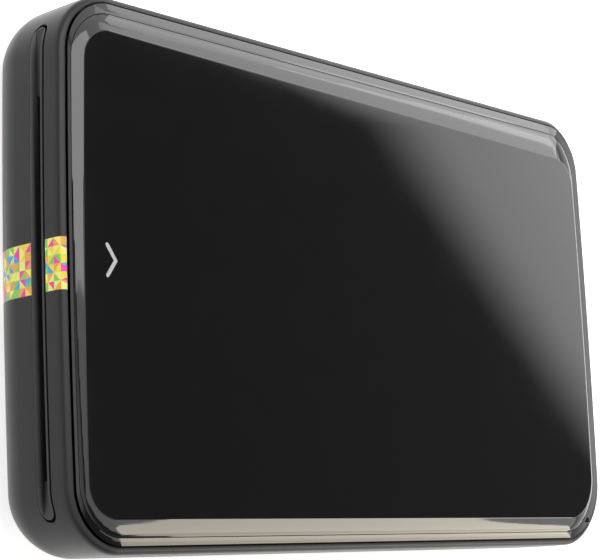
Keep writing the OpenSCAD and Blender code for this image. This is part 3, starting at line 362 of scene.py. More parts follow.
def loft(plan, levels, spot, caps=(True, True)):
    bm = bmesh.new()
    turn = bm.verts.layers.int.new("turn")
    ring = bmesh.ops.create_circle(bm, segments=len(plan), radius=1.0)["verts"]
    for i, v in enumerate(ring):
        v[turn] = i
    edges = list(bm.edges)
    firstEdges = list(edges)
    for n, level in enumerate(levels):
        if n:
            old = set(ring)
            made = bmesh.ops.extrude_edge_only(bm, edges=edges)["geom"]
            ring = [g for g in made if isinstance(g, bmesh.types.BMVert)]
            for v in ring:
                v[turn] = next(e.other_vert(v)[turn] for e in v.link_edges if e.other_vert(v) in old)
            fresh = set(ring)
            edges = [g for g in made if isinstance(g, bmesh.types.BMEdge) and set(g.verts) <= fresh]
        for v in ring:
            v.co = spot(plan[v[turn]], level)
        if isinstance(level, dict) and level.get("sharp"):
            for e in edges:
                e.smooth = False
    if caps[0]:
        bmesh.ops.edgeloop_fill(bm, edges=firstEdges)
    if caps[1]:
        bmesh.ops.edgeloop_fill(bm, edges=edges)
    bmesh.ops.remove_doubles(bm, verts=bm.verts, dist=weld["ring"])
    bmesh.ops.recalc_face_normals(bm, faces=bm.faces)
    return bm


def join(bm, *others):
    for other in others:
        mesh = bpy.data.meshes.new("part")
        other.to_mesh(mesh)
        other.free()
        bm.from_mesh(mesh)
        bpy.data.meshes.remove(mesh)
    return bm


def block(x, y, z, soft=0.0):
    bm = bmesh.new()
    bmesh.ops.create_cube(bm, size=1.0)
    size = Vector((x[1] - x[0], y[1] - y[0], z[1] - z[0]))
    bmesh.ops.scale(bm, vec=size, verts=bm.verts)
    bmesh.ops.translate(bm, vec=Vector((x[0] + x[1], y[0] + y[1], z[0] + z[1])) / 2, verts=bm.verts)
    if soft:
        bmesh.ops.bevel(bm, geom=list(bm.edges), offset=soft, affect="EDGES", segments=2, profile=0.5,
                        material=-1)
    return bm


# A turned shape: the profile's points are (radius, height), the axis stands at the given point
def lathe(profile, centre, steps=40, axis="Z"):
    bm = bmesh.new()
    verts = [bm.verts.new((r, 0, h)) for r, h in profile]
    chain = [bm.edges.new(pair) for pair in zip(verts, verts[1:])]
    bmesh.ops.spin(bm, geom=verts + chain, cent=(0, 0, 0), axis=(0, 0, 1), angle=math.tau, steps=steps,
                   use_merge=True)
    bmesh.ops.remove_doubles(bm, verts=bm.verts, dist=weld["cut"])
    if axis == "X":
        bmesh.ops.rotate(bm, verts=bm.verts, cent=(0, 0, 0), matrix=Matrix.Rotation(math.pi / 2, 3, "Y"))
    bmesh.ops.translate(bm, vec=Vector(centre), verts=bm.verts)
    bmesh.ops.recalc_face_normals(bm, faces=bm.faces)
    return bm


def joinTurned(bm, profile, spots, steps=40):
    for x, y in spots:
        join(bm, lathe(profile, (x, y, 0), steps))


def carve(bm, tool, operation="DIFFERENCE"):
    made = []
    for shape in (bm, tool):
        mesh = bpy.data.meshes.new("work")
        shape.to_mesh(mesh)
        shape.free()
        made.append(bpy.data.objects.new("work", mesh))
        scene.collection.objects.link(made[-1])
    cut = made[0].modifiers.new("cut", "BOOLEAN")
    cut.object = made[1]
    cut.operation = operation
    cut.solver = "EXACT"
    bpy.context.view_layer.update()
    result = bpy.data.meshes.new_from_object(made[0].evaluated_get(bpy.context.evaluated_depsgraph_get()))
    out = bmesh.new()
    out.from_mesh(result)
    for obj in made:
        bpy.data.objects.remove(obj)
    bmesh.ops.remove_doubles(out, verts=out.verts, dist=weld["cut"])
    return out


# Keeps what lies behind every plane, each given by a point and its outward direction
def keepInside(bm, planes):
    for point, outward in planes:
        geom = list(bm.verts) + list(bm.edges) + list(bm.faces)
        bmesh.ops.bisect_plane(bm, geom=geom, plane_co=point, plane_no=outward, clear_outer=True)
        bmesh.ops.holes_fill(bm, edges=[e for e in bm.edges if e.is_boundary])
    bmesh.ops.recalc_face_normals(bm, faces=bm.faces)
    return bm


bow = {"depth": 0.59, "from": 49.0, "to": 55.0, "half": 37.0}


def bowEnds(bm):
    for v in bm.verts:
        share = min(1.0, max(0.0, (abs(v.co.x) - bow["from"]) / (bow["to"] - bow["from"])))
        v.co.x -= math.copysign(bow["depth"] * (v.co.y / bow["half"]) ** 2 * share, v.co.x)
    return bm


# Writes a finished mesh: normals, sharp edges, metres, material, body and what it stands for
def place(name, bm, slot, body, *stands, angle=32, polish=True):
    bmesh.ops.recalc_face_normals(bm, faces=bm.faces)
    for e in bm.edges:
        if len(e.link_faces) != 2 or e.calc_face_angle(0.0) > math.radians(angle):
            e.smooth = False
    for face in bm.faces:
        face.smooth = True
    bmesh.ops.scale(bm, vec=(mm, mm, mm), verts=bm.verts)
    mesh = bpy.data.meshes.new(name)
    bm.to_mesh(mesh)
    bm.free()
    obj = bpy.data.objects.new(name, mesh)
    scene.collection.objects.link(obj)
    mesh.materials.append(finishes[slot])
    if polish:
        even = obj.modifiers.new("even", "WEIGHTED_NORMAL")
        even.keep_sharp = True
    if body:
        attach(obj, body)
    if stands:
        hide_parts(*stands)
    print("made", name, len(mesh.polygons), "faces")
    return obj


def sided(side, span):
    return sorted((side * span[0], side * span[1]))


# Housing, in millimetres; heights are from the floor, and the rear corner at low y is the rounder one
housing = {"halfL": 60.0, "halfW": 37.0, "corner": 8.6, "rounder": 2.4, "leastCorner": 0.3, "belly": 8.0,
           "foot": 0.4, "upright": 10.4, "widest": 12.5, "leaning": (13.2, 13.9, 14.6, 15.3, 16.0),
           "lean": 0.1, "rim": 17.4, "soft": 0.9, "softTurns": (18, 36, 54, 72, 90), "land": 0.08,
           "lip": 0.05, "draft": 0.02, "ledge": 16.3, "wall": 1.4,
           "inside": (16.0, 14.8, 13.6, 12.5, 10.4), "plan": (20, 44, 26),
           "outerArc": 16, "innerArc": 10, "leastSquare": 0.01}
bellyZ = housing["foot"] + housing["belly"]


def insetAt(z, off=0.0):
    if z < bellyZ:
        return housing["belly"] - math.sqrt(max(0.0, (housing["belly"] - off) ** 2 - (bellyZ - z) ** 2))
    rise = max(0.0, z - housing["widest"]) / (housing["rim"] - housing["widest"])
    return off + housing["lean"] * rise ** 2


def housingSpot(item, level):
    inset, z = level
    half = (housing["halfL"] - inset, housing["halfW"] - inset)
    radius = max(housing["leastCorner"], housing["corner"] - inset)
    p = onOutline(item, (-half[0], -half[1]), half, radius, housing["rounder"])
    return Vector((p.x, p.y, z))


def arcLevels(radius, steps):
    turns = [math.radians(90 * s / steps) for s in range(steps + 1)]
    return [(housing["belly"] - radius * math.sin(a), bellyZ - radius * math.cos(a)) for a in turns]


plan = ringPlan(*housing["plan"])
rimStart = housing["rim"] - housing["soft"]
rimAt = insetAt(rimStart)
landAt = rimAt + housing["soft"] + housing["land"]
outerLevels = arcLevels(housing["belly"], housing["outerArc"])
outerLevels += [(0.0, z) for z in (housing["upright"], housing["widest"])]
outerLevels += [(insetAt(z), z) for z in (*housing["leaning"], rimStart)]
solidLevels = outerLevels + [(insetAt(housing["rim"]), housing["rim"])]
softLevels = [(rimAt + housing["soft"] * (1 - math.cos(a)), rimStart + housing["soft"] * math.sin(a))
              for a in map(math.radians, housing["softTurns"])]
rimTop = softLevels + [(landAt - housing["lip"], housing["rim"])]
rimLevels = rimTop + [(landAt, housing["rim"] - housing["lip"]),
                      (landAt + housing["draft"], housing["ledge"]),
                      (insetAt(housing["ledge"], housing["wall"]), housing["ledge"])]
innerLevels = [(insetAt(z, housing["wall"]), z) for z in housing["inside"]]
innerLevels += list(reversed(arcLevels(housing["belly"] - housing["wall"], housing["innerArc"])))
shell = loft(plan, outerLevels + rimLevels + innerLevels, housingSpot)


def endX(y, z):
    inset = insetAt(z)
    past = abs(y) - (housing["halfW"] - housing["corner"])
    if past <= 0:
        return housing["halfL"] - inset
    radius = housing["corner"] - inset
    square = max(housing["leastSquare"], radius ** 2 - past ** 2)
    return housing["halfL"] - housing["corner"] + math.sqrt(square)


# A capsule-shaped opening through an end wall, with a rounded mouth; side is -1 at the exit end
mouth = {"outside": 63.0, "deep": 5.0, "steps": 12, "first": 0.58, "firstDepth": 0.094,
         "turns": (42, 58, 74, 90)}


def opening(side, y, z, width, height, flare, longSteps=2):
    first = flare * mouth["first"]
    levels = [("out", first), ("in", first, flare * mouth["firstDepth"])]
    levels += [("in", flare * (1 - math.sin(a)), flare * (1 - math.cos(a)))
               for a in map(math.radians, mouth["turns"])]
    levels.append(("deep", 0.0))

    def spot(item, level):
        grow = level[1]
        half = (width / 2 + grow, height / 2 + grow)
        p = onOutline(item, (-half[0], -half[1]), half, half[1])
        py, pz = y + p.x, z + p.y
        if level[0] == "out":
            return Vector((side * mouth["outside"], py, pz))
        if level[0] == "deep":
            return Vector((side * (housing["halfL"] - mouth["deep"]), py, pz))
        return Vector((side * (endX(py, pz) - level[2]), py, pz))

    return loft(ringPlan(mouth["steps"], longSteps, 1), levels, spot)


exitSlot = {"z": 12.82, "width": 65.1, "height": 2.8, "flare": 0.12, "longSteps": 80}
rearOpenings = {"socket": (0, 6.1, 8.7, 3.4, 0.3), "button": (20, 7.2, 8.24, 3.04, 0.3),
                "reset": (-11.5, 5.9, 1.1, 1.1, 0.18), "light": (-16.5, 5.7, 1.6, 1.6, 0.15),
                "secondLight": (-21.5, 5.7, 1.6, 1.6, 0.15)}  # y, z, width, height, flare
tools = opening(-1, 0, exitSlot["z"], exitSlot["width"], exitSlot["height"], exitSlot["flare"],
                longSteps=exitSlot["longSteps"])
join(tools, *[opening(1, *sizes) for sizes in rearOpenings.values()])

# Slits in the rear rim that the cover's hooks run out through: y and z of the slit and of its window
slit = {"x": (52.0, 62.0), "upper": ((32.25, 33.35), (15.45, 19.0)),
        "window": ((30.2, 33.0), (15.45, 16.5))}
for side in (-1, 1):
    narrow, wide = [block(slit["x"], sided(side, y), z) for y, z in (slit["upper"], slit["window"])]
    join(tools, carve(narrow, wide, "UNION"))

# Screw posts, bosses and feet: where they stand, and their turned profiles of (radius, height)
posts = [(x, s * 29.6) for x in (-3.0, 30.8) for s in (-1, 1)]
feet = [(sx * 45.0, sy * 23.0) for sx in (-1, 1) for sy in (-1, 1)]
frameHoles = [(x, s * 20.0) for x in (-46.0, -22.5) for s in (-1, 1)]
boardHoles = [(36.4, 26.5), (36.4, -19.5), (50.4, 12.8), (50.4, -26.8)]
turned = {"screwWell": [(0, -1), (1.85, -1), (1.85, 0.3), (1.6, 0.55), (1.6, 1.8), (0.85, 1.8),
                        (0.85, 3.0), (0, 3.0)],
          "footWell": [(0, -1), (4.3, -1), (4.3, 0.35), (4.12, 0.52), (4.12, 0.8), (0, 0.8)],
          "post": [(0.85, 1.5), (2.5, 1.5), (2.5, 3.25), (2.35, 3.4), (0.85, 3.4), (0.85, 1.5)],
          "frameBoss": [(0.7, 1.6), (2.2, 1.6), (2.2, 2.4), (0.7, 2.4), (0.7, 1.6)],
          "boardBoss": [(0.7, 1.6), (1.9, 1.6), (1.9, 3.9), (1.8, 4.0), (0.7, 4.0), (0.7, 1.6)],
          "foot": [(0, 0.06), (1.9, 0.06), (2.1, 0.12), (2.4, 0.12), (2.6, 0.0), (3.4, 0.0), (3.75, 0.06),
                   (3.95, 0.22), (4.0, 0.4), (4.0, 0.8), (0, 0.8)],
          "footSteps": 56}
joinTurned(tools, turned["screwWell"], posts)
joinTurned(tools, turned["footWell"], feet, turned["footSteps"])

# The shallow place of the rating plate on the underside; levels are (outset, height)
plateSpot = {"half": (23.12, 12.12), "radius": 2.0, "plan": (8, 1, 1),
             "levels": [(0.1, -1.0), (0.1, 0.4), (0.0, 0.5), (0.0, 0.56)]}


def plateLevel(item, level):
    grow, z = level
    half = (plateSpot["half"][0] + grow, plateSpot["half"][1] + grow)
    p = onOutline(item, (-half[0], -half[1]), half, plateSpot["radius"] + grow)
    return Vector((p.x, p.y, z))


join(tools, loft(ringPlan(*plateSpot["plan"]), plateSpot["levels"], plateLevel))
shell = carve(shell, tools)
joinTurned(shell, turned["post"], posts)
joinTurned(shell, turned["frameBoss"], frameHoles)
joinTurned(shell, turned["boardBoss"], boardHoles)

# Two ribs across and two along the floor hold the cells
ribs = {"thick": 1, "soft": 0.15, "crossX": (-7.4, 30.4), "crossY": (-19.0, 10.0), "crossZ": (1.7, 3.8),
        "longX": (-2.0, 26.0), "longY": (-23.4, 12.8), "longZ": (1.7, 3.0)}
for x in ribs["crossX"]:
    join(shell, block((x, x + ribs["thick"]), ribs["crossY"], ribs["crossZ"], ribs["soft"]))
for y in ribs["longY"]:
    join(shell, block(ribs["longX"], (y, y + ribs["thick"]), ribs["longZ"], ribs["soft"]))
place("housingShell", bowEnds(shell), "housing_plastic", "base", "base_housing")

# Insert of the print exit: flush face, sunk funnel, thin upper lip
insert = {"z": 12.72, "half": (32.2, 1.25), "plan": (16, 80, 1), "x": (-63.0, -55.5),
          "slope": (-60.0, 11.5, -59.1, 11.95), "lip": 13.58, "end": 31.1, "endX": -59.29, "back": -59.05,
          "pocket": ((-64.0, -55.0), (-36.0, 36.0), (9.0, 16.0)),
          "mouthX": (-60.5, -54.0), "mouth": (-27.35, 22.85), "mouthZ": (11.95, 13.1), "mouthSoft": 0.12}


def insertSpot(item, x):
    across, up = insert["half"]
    p = onOutline(item, (-across, -up), (across, up), up)
    return Vector((x, p.x, insert["z"] + p.y))


prism = loft(ringPlan(*insert["plan"]), insert["x"], insertSpot)
face = carve(loft(plan, solidLevels, housingSpot), prism, "INTERSECT")
slopeX, slopeZ, backX, backZ = insert["slope"]
planes = [((slopeX, 0, slopeZ), (backZ - slopeZ, 0, slopeX - backX)), ((0, 0, insert["lip"]), (0, 0, 1))]
fall = insert["back"] - insert["endX"]
for side, mouthEnd in ((1, insert["mouth"][1]), (-1, insert["mouth"][0])):
    reach = insert["end"] - abs(mouthEnd)
    planes.append(((insert["endX"], side * insert["end"], 0), (reach, side * fall, 0)))
face = carve(face, keepInside(block(*insert["pocket"]), planes))
face = carve(face, block(insert["mouthX"], insert["mouth"], insert["mouthZ"], insert["mouthSoft"]))
place("exitInsert", bowEnds(face), "trim_plastic", "base", "exit_bezel")

# Cover: shoulder, crease, bevel with a crisp inner edge, flat top. An outline is low, high, corner;
# taper and turn set the flat a little askew, and bevelTop ends the bevel in (share across, share up)
cover = {"outer": ((-58.72, -35.75), (58.72, 35.75), 7.5),
         "shoulder": ((-58.6, -34.8), (56.75, 34.2), 6.9),
         "inner": ((-57.5, -32.4), (55.05, 30.8), 4.6), "plan": (28, 48, 30),
         "low": 17.5, "ceiling": 17.8, "band": 2.0, "edge": 0.06, "edgeZ": 0.07,
         "shoulderZ": 0.1, "shoulderCurve": 1.05,
         "shoulderSteps": (0.0, 0.12, 0.3, 0.55, 0.8, 1.0), "creaseZ": 18.05, "groove": 0.05,
         "grooveDrop": 0.12, "grooveRise": 0.01, "bevelSteps": 14, "bevelPart": 0.94, "bevelSlope": 0.79,
         "bevelTail": 0.21, "bevelRise": 0.985,
         "bevelTop": ((0.975, 0.992), (0.99, 0.9968), (1.0, 0.9992)),
         "top": 19.0, "flatEdge": 0.1, "turn": 0.0138, "turnOver": 50, "taper": 0.0185, "taperFrom": -20,
         "taperOver": 30}


def between(first, second, t):
    (lowA, highA, radiusA), (lowB, highB, radiusB) = first, second
    return (tuple(a + (b - a) * t for a, b in zip(lowA, lowB)),
            tuple(a + (b - a) * t for a, b in zip(highA, highB)), radiusA + (radiusB - radiusA) * t)


def shrink(outline, by):
    low, high, radius = outline
    return ((low[0] + by, low[1] + by), (high[0] - by, high[1] - by), radius - by)


def coverSpot(item, level):
    p = onOutline(item, level["low"], level["high"], level["radius"], housing["rounder"])
    turnShare = min(1.0, max(0.0, -p.x / cover["turnOver"]))
    taperShare = min(1.0, max(0.0, p.y / cover["taperOver"]))
    x = p.x + level["skew"] * cover["turn"] * p.y * turnShare
    y = p.y - level["skew"] * cover["taper"] * (p.x - cover["taperFrom"]) * taperShare
    return Vector((x, y, level["z"]))


def coverLevel(outline, z, sharp=False, skew=0.0):
    low, high, radius = outline
    return {"low": low, "high": high, "radius": radius, "z": z, "sharp": sharp, "skew": skew}


outer, shoulder, inner = cover["outer"], cover["shoulder"], cover["inner"]
low, crease, top = cover["low"], cover["creaseZ"], cover["top"]
coverLevels = [coverLevel(shrink(outer, cover["band"]), cover["ceiling"], True),
               coverLevel(shrink(outer, cover["band"]), low, True),
               coverLevel(shrink(outer, cover["edge"]), low),
               coverLevel(outer, low + cover["edgeZ"])]
for t in cover["shoulderSteps"]:
    rise = 1 - (1 - t) ** cover["shoulderCurve"]
    z = low + cover["shoulderZ"] + (crease - low - cover["shoulderZ"]) * rise
    coverLevels.append(coverLevel(between(outer, shoulder, t), z, t == 1.0))
bevelStart = shrink(shoulder, cover["groove"] * 2)
bevelZ = crease + cover["grooveRise"]
bevelRun = top - crease - cover["grooveRise"]
coverLevels.append(coverLevel(shrink(shoulder, cover["groove"]), crease - cover["grooveDrop"]))
coverLevels.append(coverLevel(bevelStart, bevelZ, True))
for i in range(1, cover["bevelSteps"] + 1):
    t = i / cover["bevelSteps"] * cover["bevelPart"]
    rise = 1 - cover["bevelSlope"] * (1 - t) - cover["bevelTail"] * (1 - t) ** 4
    z = bevelZ + bevelRun * rise * cover["bevelRise"]
    coverLevels.append(coverLevel(between(bevelStart, inner, t), z, skew=t))
for t, rise in cover["bevelTop"]:
    coverLevels.append(coverLevel(between(bevelStart, inner, t), bevelZ + bevelRun * rise, skew=t))
coverLevels.append(coverLevel(shrink(inner, cover["flatEdge"]), top, skew=1.0))
lid = loft(ringPlan(*cover["plan"]), coverLevels, coverSpot)

# Six hooks below the cover run under the tray's rails
hook = {"x": (-45.0, -5.0, 35.0), "half": 6, "stem": (32.4, 33.2), "foot": (30.4, 33.2), "low": 15.75,
        "stemTop": 17.9, "footTop": 16.25, "soft": 0.1}
for x in hook["x"]:
    reach = (x - hook["half"], x + hook["half"])
    for side in (-1, 1):
        for y, z in ((hook["stem"], hook["stemTop"]), (hook["foot"], hook["footTop"])):
            join(lid, block(reach, sided(side, y), (hook["low"], z), hook["soft"]))

# Two plugs of the cover, each on a root, close the slits that its hooks run out through
plug = {"x": (54.2, 61.0), "y": (32.28, 33.32), "z": (15.48, 18.0), "rootX": (53.0, 55.2),
        "rootZ": (16.5, 17.9)}
for side in (-1, 1):
    rimSolid = loft(plan, outerLevels + rimTop, housingSpot)
    filling = carve(rimSolid, block(plug["x"], sided(side, plug["y"]), plug["z"]), "INTERSECT")
    join(lid, filling, block(plug["rootX"], sided(side, hook["stem"]), plug["rootZ"]))
place("coverShell", bowEnds(lid), "cover_gloss", "cover", "top_cover", angle=28)

# Rubber feet with a shallow ring
pads = bmesh.new()
joinTurned(pads, turned["foot"], feet, turned["footSteps"])
place("footPads", pads, "foot_rubber", "base", "rubber_feet")

# Power button: crowned capsule on a flange and stem; levels are (x, outset)
keySizes = {"w": 8.0, "h": 2.8, "y": 20.0, "z": 7.2, "plan": (10, 6, 1), "stemX": 55.3, "stemSteps": 24,
            "stem": [(0, 0), (1.1, 0), (1.1, 1.3), (0, 1.3)],
            "levels": [(56.4, 0.5), (56.4, 0.6), (57.1, 0.6), (57.2, 0.5), (57.2, 0.0), (59.3, 0.0),
                       (59.46, -0.04), (59.6, -0.14), (59.66, -0.26), (59.68, -0.45), (59.64, -0.75),
                       (59.58, -1.1)]}


def keySpot(item, level):
    x, grow = level
    half = (keySizes["w"] / 2 + grow, keySizes["h"] / 2 + grow)
    p = onOutline(item, (-half[0], -half[1]), half, half[1])
    return Vector((x, keySizes["y"] + p.x, keySizes["z"] + p.y))


button = loft(ringPlan(*keySizes["plan"]), keySizes["levels"], keySpot)
stemAt = (keySizes["stemX"], keySizes["y"], keySizes["z"])
join(button, lathe(keySizes["stem"], stemAt, keySizes["stemSteps"], "X"))
place("powerKey", bowEnds(button), "button_plastic", "power_key", "power_button")

# Charging socket: drawn shell with flared lips and a tongue; its lower half is pinched in
port = {"w": 7.5, "h": 2.6, "z": 6.1, "corner": 0.55, "leastCorner": 0.1, "pinch": 0.9,
        "pinchCurve": 1.5, "plan": (6, 8, 4),
        "levels": [(53.2, 0.0), (58.3, 0.0), (58.65, 0.02), (58.8, -0.08), (58.76, -0.26), (58.4, -0.3),
                   (54.2, -0.3)],
        "tongue": ((54.0, 58.0), (-1.9, 1.9), (6.2, 6.75), 0.08)}


def portSpot(item, level):
    x, grow = level
    half = (port["w"] / 2 + grow, port["h"] / 2 + grow)
    p = onOutline(item, (-half[0], -half[1]), half, max(port["leastCorner"], port["corner"] + grow))
    pinch = port["pinch"] * max(0.0, -p.y / half[1]) ** port["pinchCurve"]
    return Vector((x, p.x - math.copysign(pinch * abs(p.x) / half[0], p.x), port["z"] + p.y))


socket = loft(ringPlan(*port["plan"]), port["levels"], portSpot)
join(socket, block(*port["tongue"]))
place("chargingPort", socket, "radio_can", "base", "usb_socket")
print("casing done")

# Leaf springs under the cover: a strap each with two formed tongues; path is (along, share of the fall)
leaf = {"straps": (-9.0, 23.0), "half": 3.0, "soft": 0.06, "tongues": (-12.0, 12.0), "across": 4,
        "thick": 0.2, "flatShare": 0.15,
        "path": [(2.4, 0.0), (3.1, 0.03), (3.8, 0.1), (5.5, 0.31), (7.5, 0.56), (9.3, 0.79), (10.4, 0.91),
                 (11.2, 0.975), (12.0, 1.0), (12.8, 0.985), (13.6, 0.9), (14.8, 0.74), (15.6, 0.63),
                 (15.95, 0.585)],
        "widths": [4.0] * 11 + [3.95, 3.7, 3.2]}
leafLow, leafHigh = [Vector(corner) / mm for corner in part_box("cover_leaf_springs")]
strapUnder = leafHigh.z - leaf["thick"]
last = len(leaf["path"]) - 1
springs = bmesh.new()
for x0 in leaf["straps"]:
    join(springs, block((x0 - leaf["half"], x0 + leaf["half"]), (leafLow.y, leafHigh.y),
                        (strapUnder, leafHigh.z), leaf["soft"]))
    for y0 in leaf["tongues"]:
        tongue = bmesh.new()
        bmesh.ops.create_grid(tongue, x_segments=last, y_segments=leaf["across"], size=1.0)
        for v in tongue.verts:
            i = round((v.co.x + 1) / 2 * last)
            along, fall = leaf["path"][i]
            z = strapUnder - fall * (strapUnder - leafLow.z)
            v.co = (x0 + along, y0 + v.co.y * leaf["widths"][i], z)
        bmesh.ops.solidify(tongue, geom=list(tongue.faces), thickness=leaf["thick"])
        join(springs, tongue)
leafSprings = place("leafSprings", springs, "spring_steel", "cover", "cover_leaf_springs", polish=False)
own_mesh(leafSprings)

# Coil springs at the print head, evenly wound; this mesh stays fixed, though the real springs stretch as
# the head lifts
coil = {"wire": 0.17, "turns": 9, "steps": 20, "sides": 8, "angle": 60}
coilLow, coilHigh = [Vector(corner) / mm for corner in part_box("head_springs")]
coilR = (coilHigh.x - coilLow.x) / 2 - coil["wire"]
allSteps = coil["turns"] * coil["steps"]
rise = (coilHigh.z - coilLow.z - 2 * coil["wire"]) / allSteps
coils = bmesh.new()
for side in (-1, 1):
    wire = bmesh.new()
    bmesh.ops.create_circle(wire, segments=coil["sides"], radius=coil["wire"])
    bmesh.ops.rotate(wire, verts=wire.verts, cent=(0, 0, 0), matrix=Matrix.Rotation(math.pi / 2, 3, "X"))
    bmesh.ops.translate(wire, vec=(coilR, 0, coilLow.z + coil["wire"]), verts=wire.verts)
    bmesh.ops.spin(wire, geom=list(wire.verts) + list(wire.edges), cent=(0, 0, 0), axis=(0, 0, 1),
                   dvec=(0, 0, rise), angle=math.tau * coil["turns"], steps=allSteps)
    bmesh.ops.holes_fill(wire, edges=[e for e in wire.edges if e.is_boundary])
    spotY = side * (coilHigh.y - (coilHigh.x - coilLow.x) / 2)
    bmesh.ops.translate(wire, vec=((coilLow.x + coilHigh.x) / 2, spotY, 0), verts=wire.verts)
    join(coils, wire)
headSprings = place("headSprings", coils, "spring_steel", None, "head_springs", polish=False,
                    angle=coil["angle"])
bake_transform(headSprings)
print("springs done")

# Camera at the photograph's angle
view = {"lens": 105.944, "sensor_width": 36.0, "clip_start": 0.01, "clip_end": 20.0}
viewFrom, viewTurn = (-0.202026, -0.040947, 0.187177), (12.2104, -47.2698, -3.4768)
camera = bpy.data.objects.new("camera", bpy.data.cameras.new("camera"))
scene.collection.objects.link(camera)
for key, value in view.items():
    setattr(camera.data, key, value)
camera.location = viewFrom
camera.rotation_euler = [math.radians(a) for a in viewTurn]
scene.camera = camera


# A flat sheet of the studio, in metres, with an empty material of its own
def studioSheet(name, x, y, z):
    bm = bmesh.new()
    bmesh.ops.create_grid(bm, x_segments=2, y_segments=2, size=0.5)
    bmesh.ops.scale(bm, vec=Vector((x[1] - x[0], y[1] - y[0], 1)), verts=bm.verts)
    bmesh.ops.translate(bm, vec=(sum(x) / 2, sum(y) / 2, z), verts=bm.verts)
    mesh = bpy.data.meshes.new(name)
    bm.to_mesh(mesh)
    bm.free()
    obj = bpy.data.objects.new(name, mesh)
    scene.collection.objects.link(obj)
    look = bpy.data.materials.new(name + ".look")
    look.use_nodes = True
    mesh.materials.append(look)
    return obj, look.node_tree


# Floor and a pale room; the floor glows only for the camera and in reflections
room = {"floorTone": "#E8E8E8", "floorGlow": 0.75, "floorRough": 0.9, "floorSpan": (-6.0, 6.0),
        "cloud": 3.0, "cloudLevels": (0.98, 1.02), "low": 1.15, "high": 0.17, "edges": (0.2, 0.42),
        "white": (1, 1, 1, 1)}
floor, tree = studioSheet("floor", room["floorSpan"], room["floorSpan"], 0.0)
shader = tree.nodes["Principled BSDF"]
cloud = add(tree, "TexNoise", {"Vector": add(tree, "TexCoord").outputs["Object"], "Scale": room["cloud"]})
dull, pale = [colour(room["floorTone"], share) for share in room["cloudLevels"]]
tree.links.new(blend(tree, cloud.outputs["Fac"], dull, pale), shader.inputs["Base Color"])
shader.inputs["Roughness"].default_value = room["floorRough"]
path = add(tree, "LightPath")
seen = calc(tree, "MAXIMUM", path.outputs["Is Camera Ray"],
            calc(tree, "MAXIMUM", path.outputs["Is Glossy Ray"], path.outputs["Is Transmission Ray"]))
shader.inputs["Emission Color"].default_value = room["white"]
tree.links.new(calc(tree, "MULTIPLY", seen, room["floorGlow"]), shader.inputs["Emission Strength"])

world = bpy.data.worlds.new("room")
scene.world = world
world.use_nodes = True
tree = world.node_tree
sky = add(tree, "SeparateXYZ", {0: add(tree, "TexCoord").outputs["Generated"]})
level = spread(tree, sky.outputs[2], *room["edges"], room["low"], room["high"])
tree.links.new(level, tree.nodes["Background"].inputs["Strength"])
tree.nodes["Background"].inputs["Color"].default_value = room["white"]


# A panel that the camera doesn't see: returns its tree, its X and Y, and the strength socket to feed
def mirrorPanel(name, x, y, z, diffuse):
    obj, tree = studioSheet(name, x, y, z)
    obj.visible_camera = False
    obj.visible_diffuse = diffuse
    obj.visible_shadow = False
    tree.nodes.remove(tree.nodes["Principled BSDF"])
    part = add(tree, "SeparateXYZ", {0: add(tree, "TexCoord").outputs["Object"]})
    shine = add(tree, "Emission")
    tree.links.new(shine.outputs[0], tree.nodes["Material Output"].inputs["Surface"])
    return tree, part.outputs[0], part.outputs[1], shine.inputs["Strength"]


# The large panel that the cover mirrors: soft lower edge, crisp far strip
panel = {"z": 0.519, "x": (0.36, 1.15), "y": (-0.3, 0.75), "near": (0.621, 0.239),
         "toward": (0.672, 0.741), "soft": 0.08, "edge": 2.4, "full": 3.4,
         "rise": 0.25, "strip": (0.401, 0.249, -0.11),
         "stripSoft": 0.02, "dim": 0.155}
tree, panelX, panelY, strength = mirrorPanel("softPanel", panel["x"], panel["y"], panel["z"], True)
(nearX, nearY), (towardX, towardY) = panel["near"], panel["toward"]
fromX = calc(tree, "MULTIPLY_ADD", panelX, towardX, -nearX * towardX)
fromY = calc(tree, "MULTIPLY_ADD", panelY, towardY, -nearY * towardY)
past = calc(tree, "ADD", fromX, fromY)
soft = spread(tree, past, -panel["soft"] / 2, panel["soft"] / 2, 0.0, 1.0, "SMOOTHSTEP")
lineX, lineY, lineSlope = panel["strip"]
stripY = calc(tree, "MULTIPLY_ADD", calc(tree, "SUBTRACT", panelX, lineX), lineSlope, lineY)
beyond = calc(tree, "SUBTRACT", panelY, stripY)
strip = spread(tree, beyond, 0.0, panel["stripSoft"], 0.0, 1.0, "SMOOTHSTEP")
lit = calc(tree, "MAXIMUM", soft, strip)
power = spread(tree, past, 0.0, panel["rise"], panel["edge"], panel["full"])
tree.links.new(calc(tree, "MAXIMUM", calc(tree, "MULTIPLY", lit, power), panel["dim"]), strength)

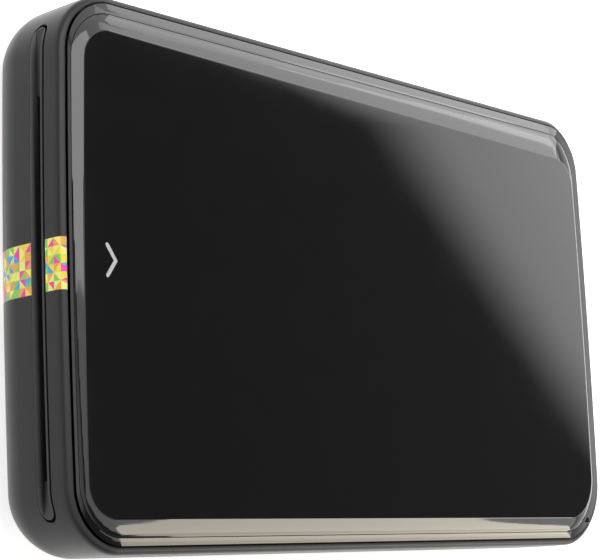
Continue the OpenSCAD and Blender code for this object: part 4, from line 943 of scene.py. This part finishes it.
# Behind the camera: what the bevel at the exit end mirrors, bright beyond a slanted line
endPanel = {"z": 1.01, "x": (-1.95, 2.6), "y": (-1.2, 3.2), "line": (-0.4, 0.17, -0.115), "lit": 5.4,
            "dim": 1.9, "end": 1.12, "side": 0.2, "blur": 0.01}
tree, panelX, panelY, strength = mirrorPanel("endPanel", endPanel["x"], endPanel["y"], endPanel["z"],
                                             False)
lineX, lineY, lineSlope = endPanel["line"]
end, blur = endPanel["end"], endPanel["blur"]
edgeY = calc(tree, "MULTIPLY_ADD", calc(tree, "SUBTRACT", panelX, lineX), lineSlope, lineY)
beyond = spread(tree, calc(tree, "SUBTRACT", panelY, edgeY), -blur, blur, 0.0, 1.0)
short = spread(tree, panelY, end - blur, end + blur, 1.0, 0.0)
near = calc(tree, "LESS_THAN", panelX, endPanel["side"])
both = calc(tree, "MULTIPLY", calc(tree, "MULTIPLY", beyond, short), near)
tree.links.new(spread(tree, both, 0.0, 1.0, endPanel["dim"], endPanel["lit"]), strength)

# Lamps: size in metres, radiance per square metre, roll in degrees about the aim
lamps = {"overhead": {"at": (-0.2, 0.38, 1.0), "aim": (-0.2, 0.38, 0.0), "size": (0.8, 0.43),
                      "radiance": 6.6, "tone": "#FFFFFF", "roll": 0.0, "mirrored": False},
         "lowWarm": {"at": (0.803, -0.562, 0.499), "aim": (0, 0, 0.02), "size": (0.38, 0.5),
                     "radiance": 5.7, "tone": "#FFF3DE", "roll": -6, "mirrored": True},
         "farSide": {"at": (0.88, 0.74, 0.35), "aim": (0, 0, 0.02), "size": (0.6, 0.42),
                     "radiance": 2.0, "tone": "#FFFFFF", "roll": 0.0, "mirrored": True}}
for name, lamp in lamps.items():
    data = bpy.data.lights.new(name, "AREA")
    data.shape = "RECTANGLE"
    data.size, data.size_y = lamp["size"]
    data.energy = lamp["radiance"] * math.pi * lamp["size"][0] * lamp["size"][1]
    data.color = colour(lamp["tone"])[:3]
    obj = bpy.data.objects.new(name, data)
    obj.location = lamp["at"]
    facing = (Vector(lamp["aim"]) - Vector(lamp["at"])).to_track_quat("-Z", "Y")
    obj.rotation_euler = (facing @ Quaternion((0, 0, 1), math.radians(lamp["roll"]))).to_euler()
    obj.visible_glossy = lamp["mirrored"]
    scene.collection.objects.link(obj)
print("studio lit")

scene.view_settings.view_transform = "Standard"
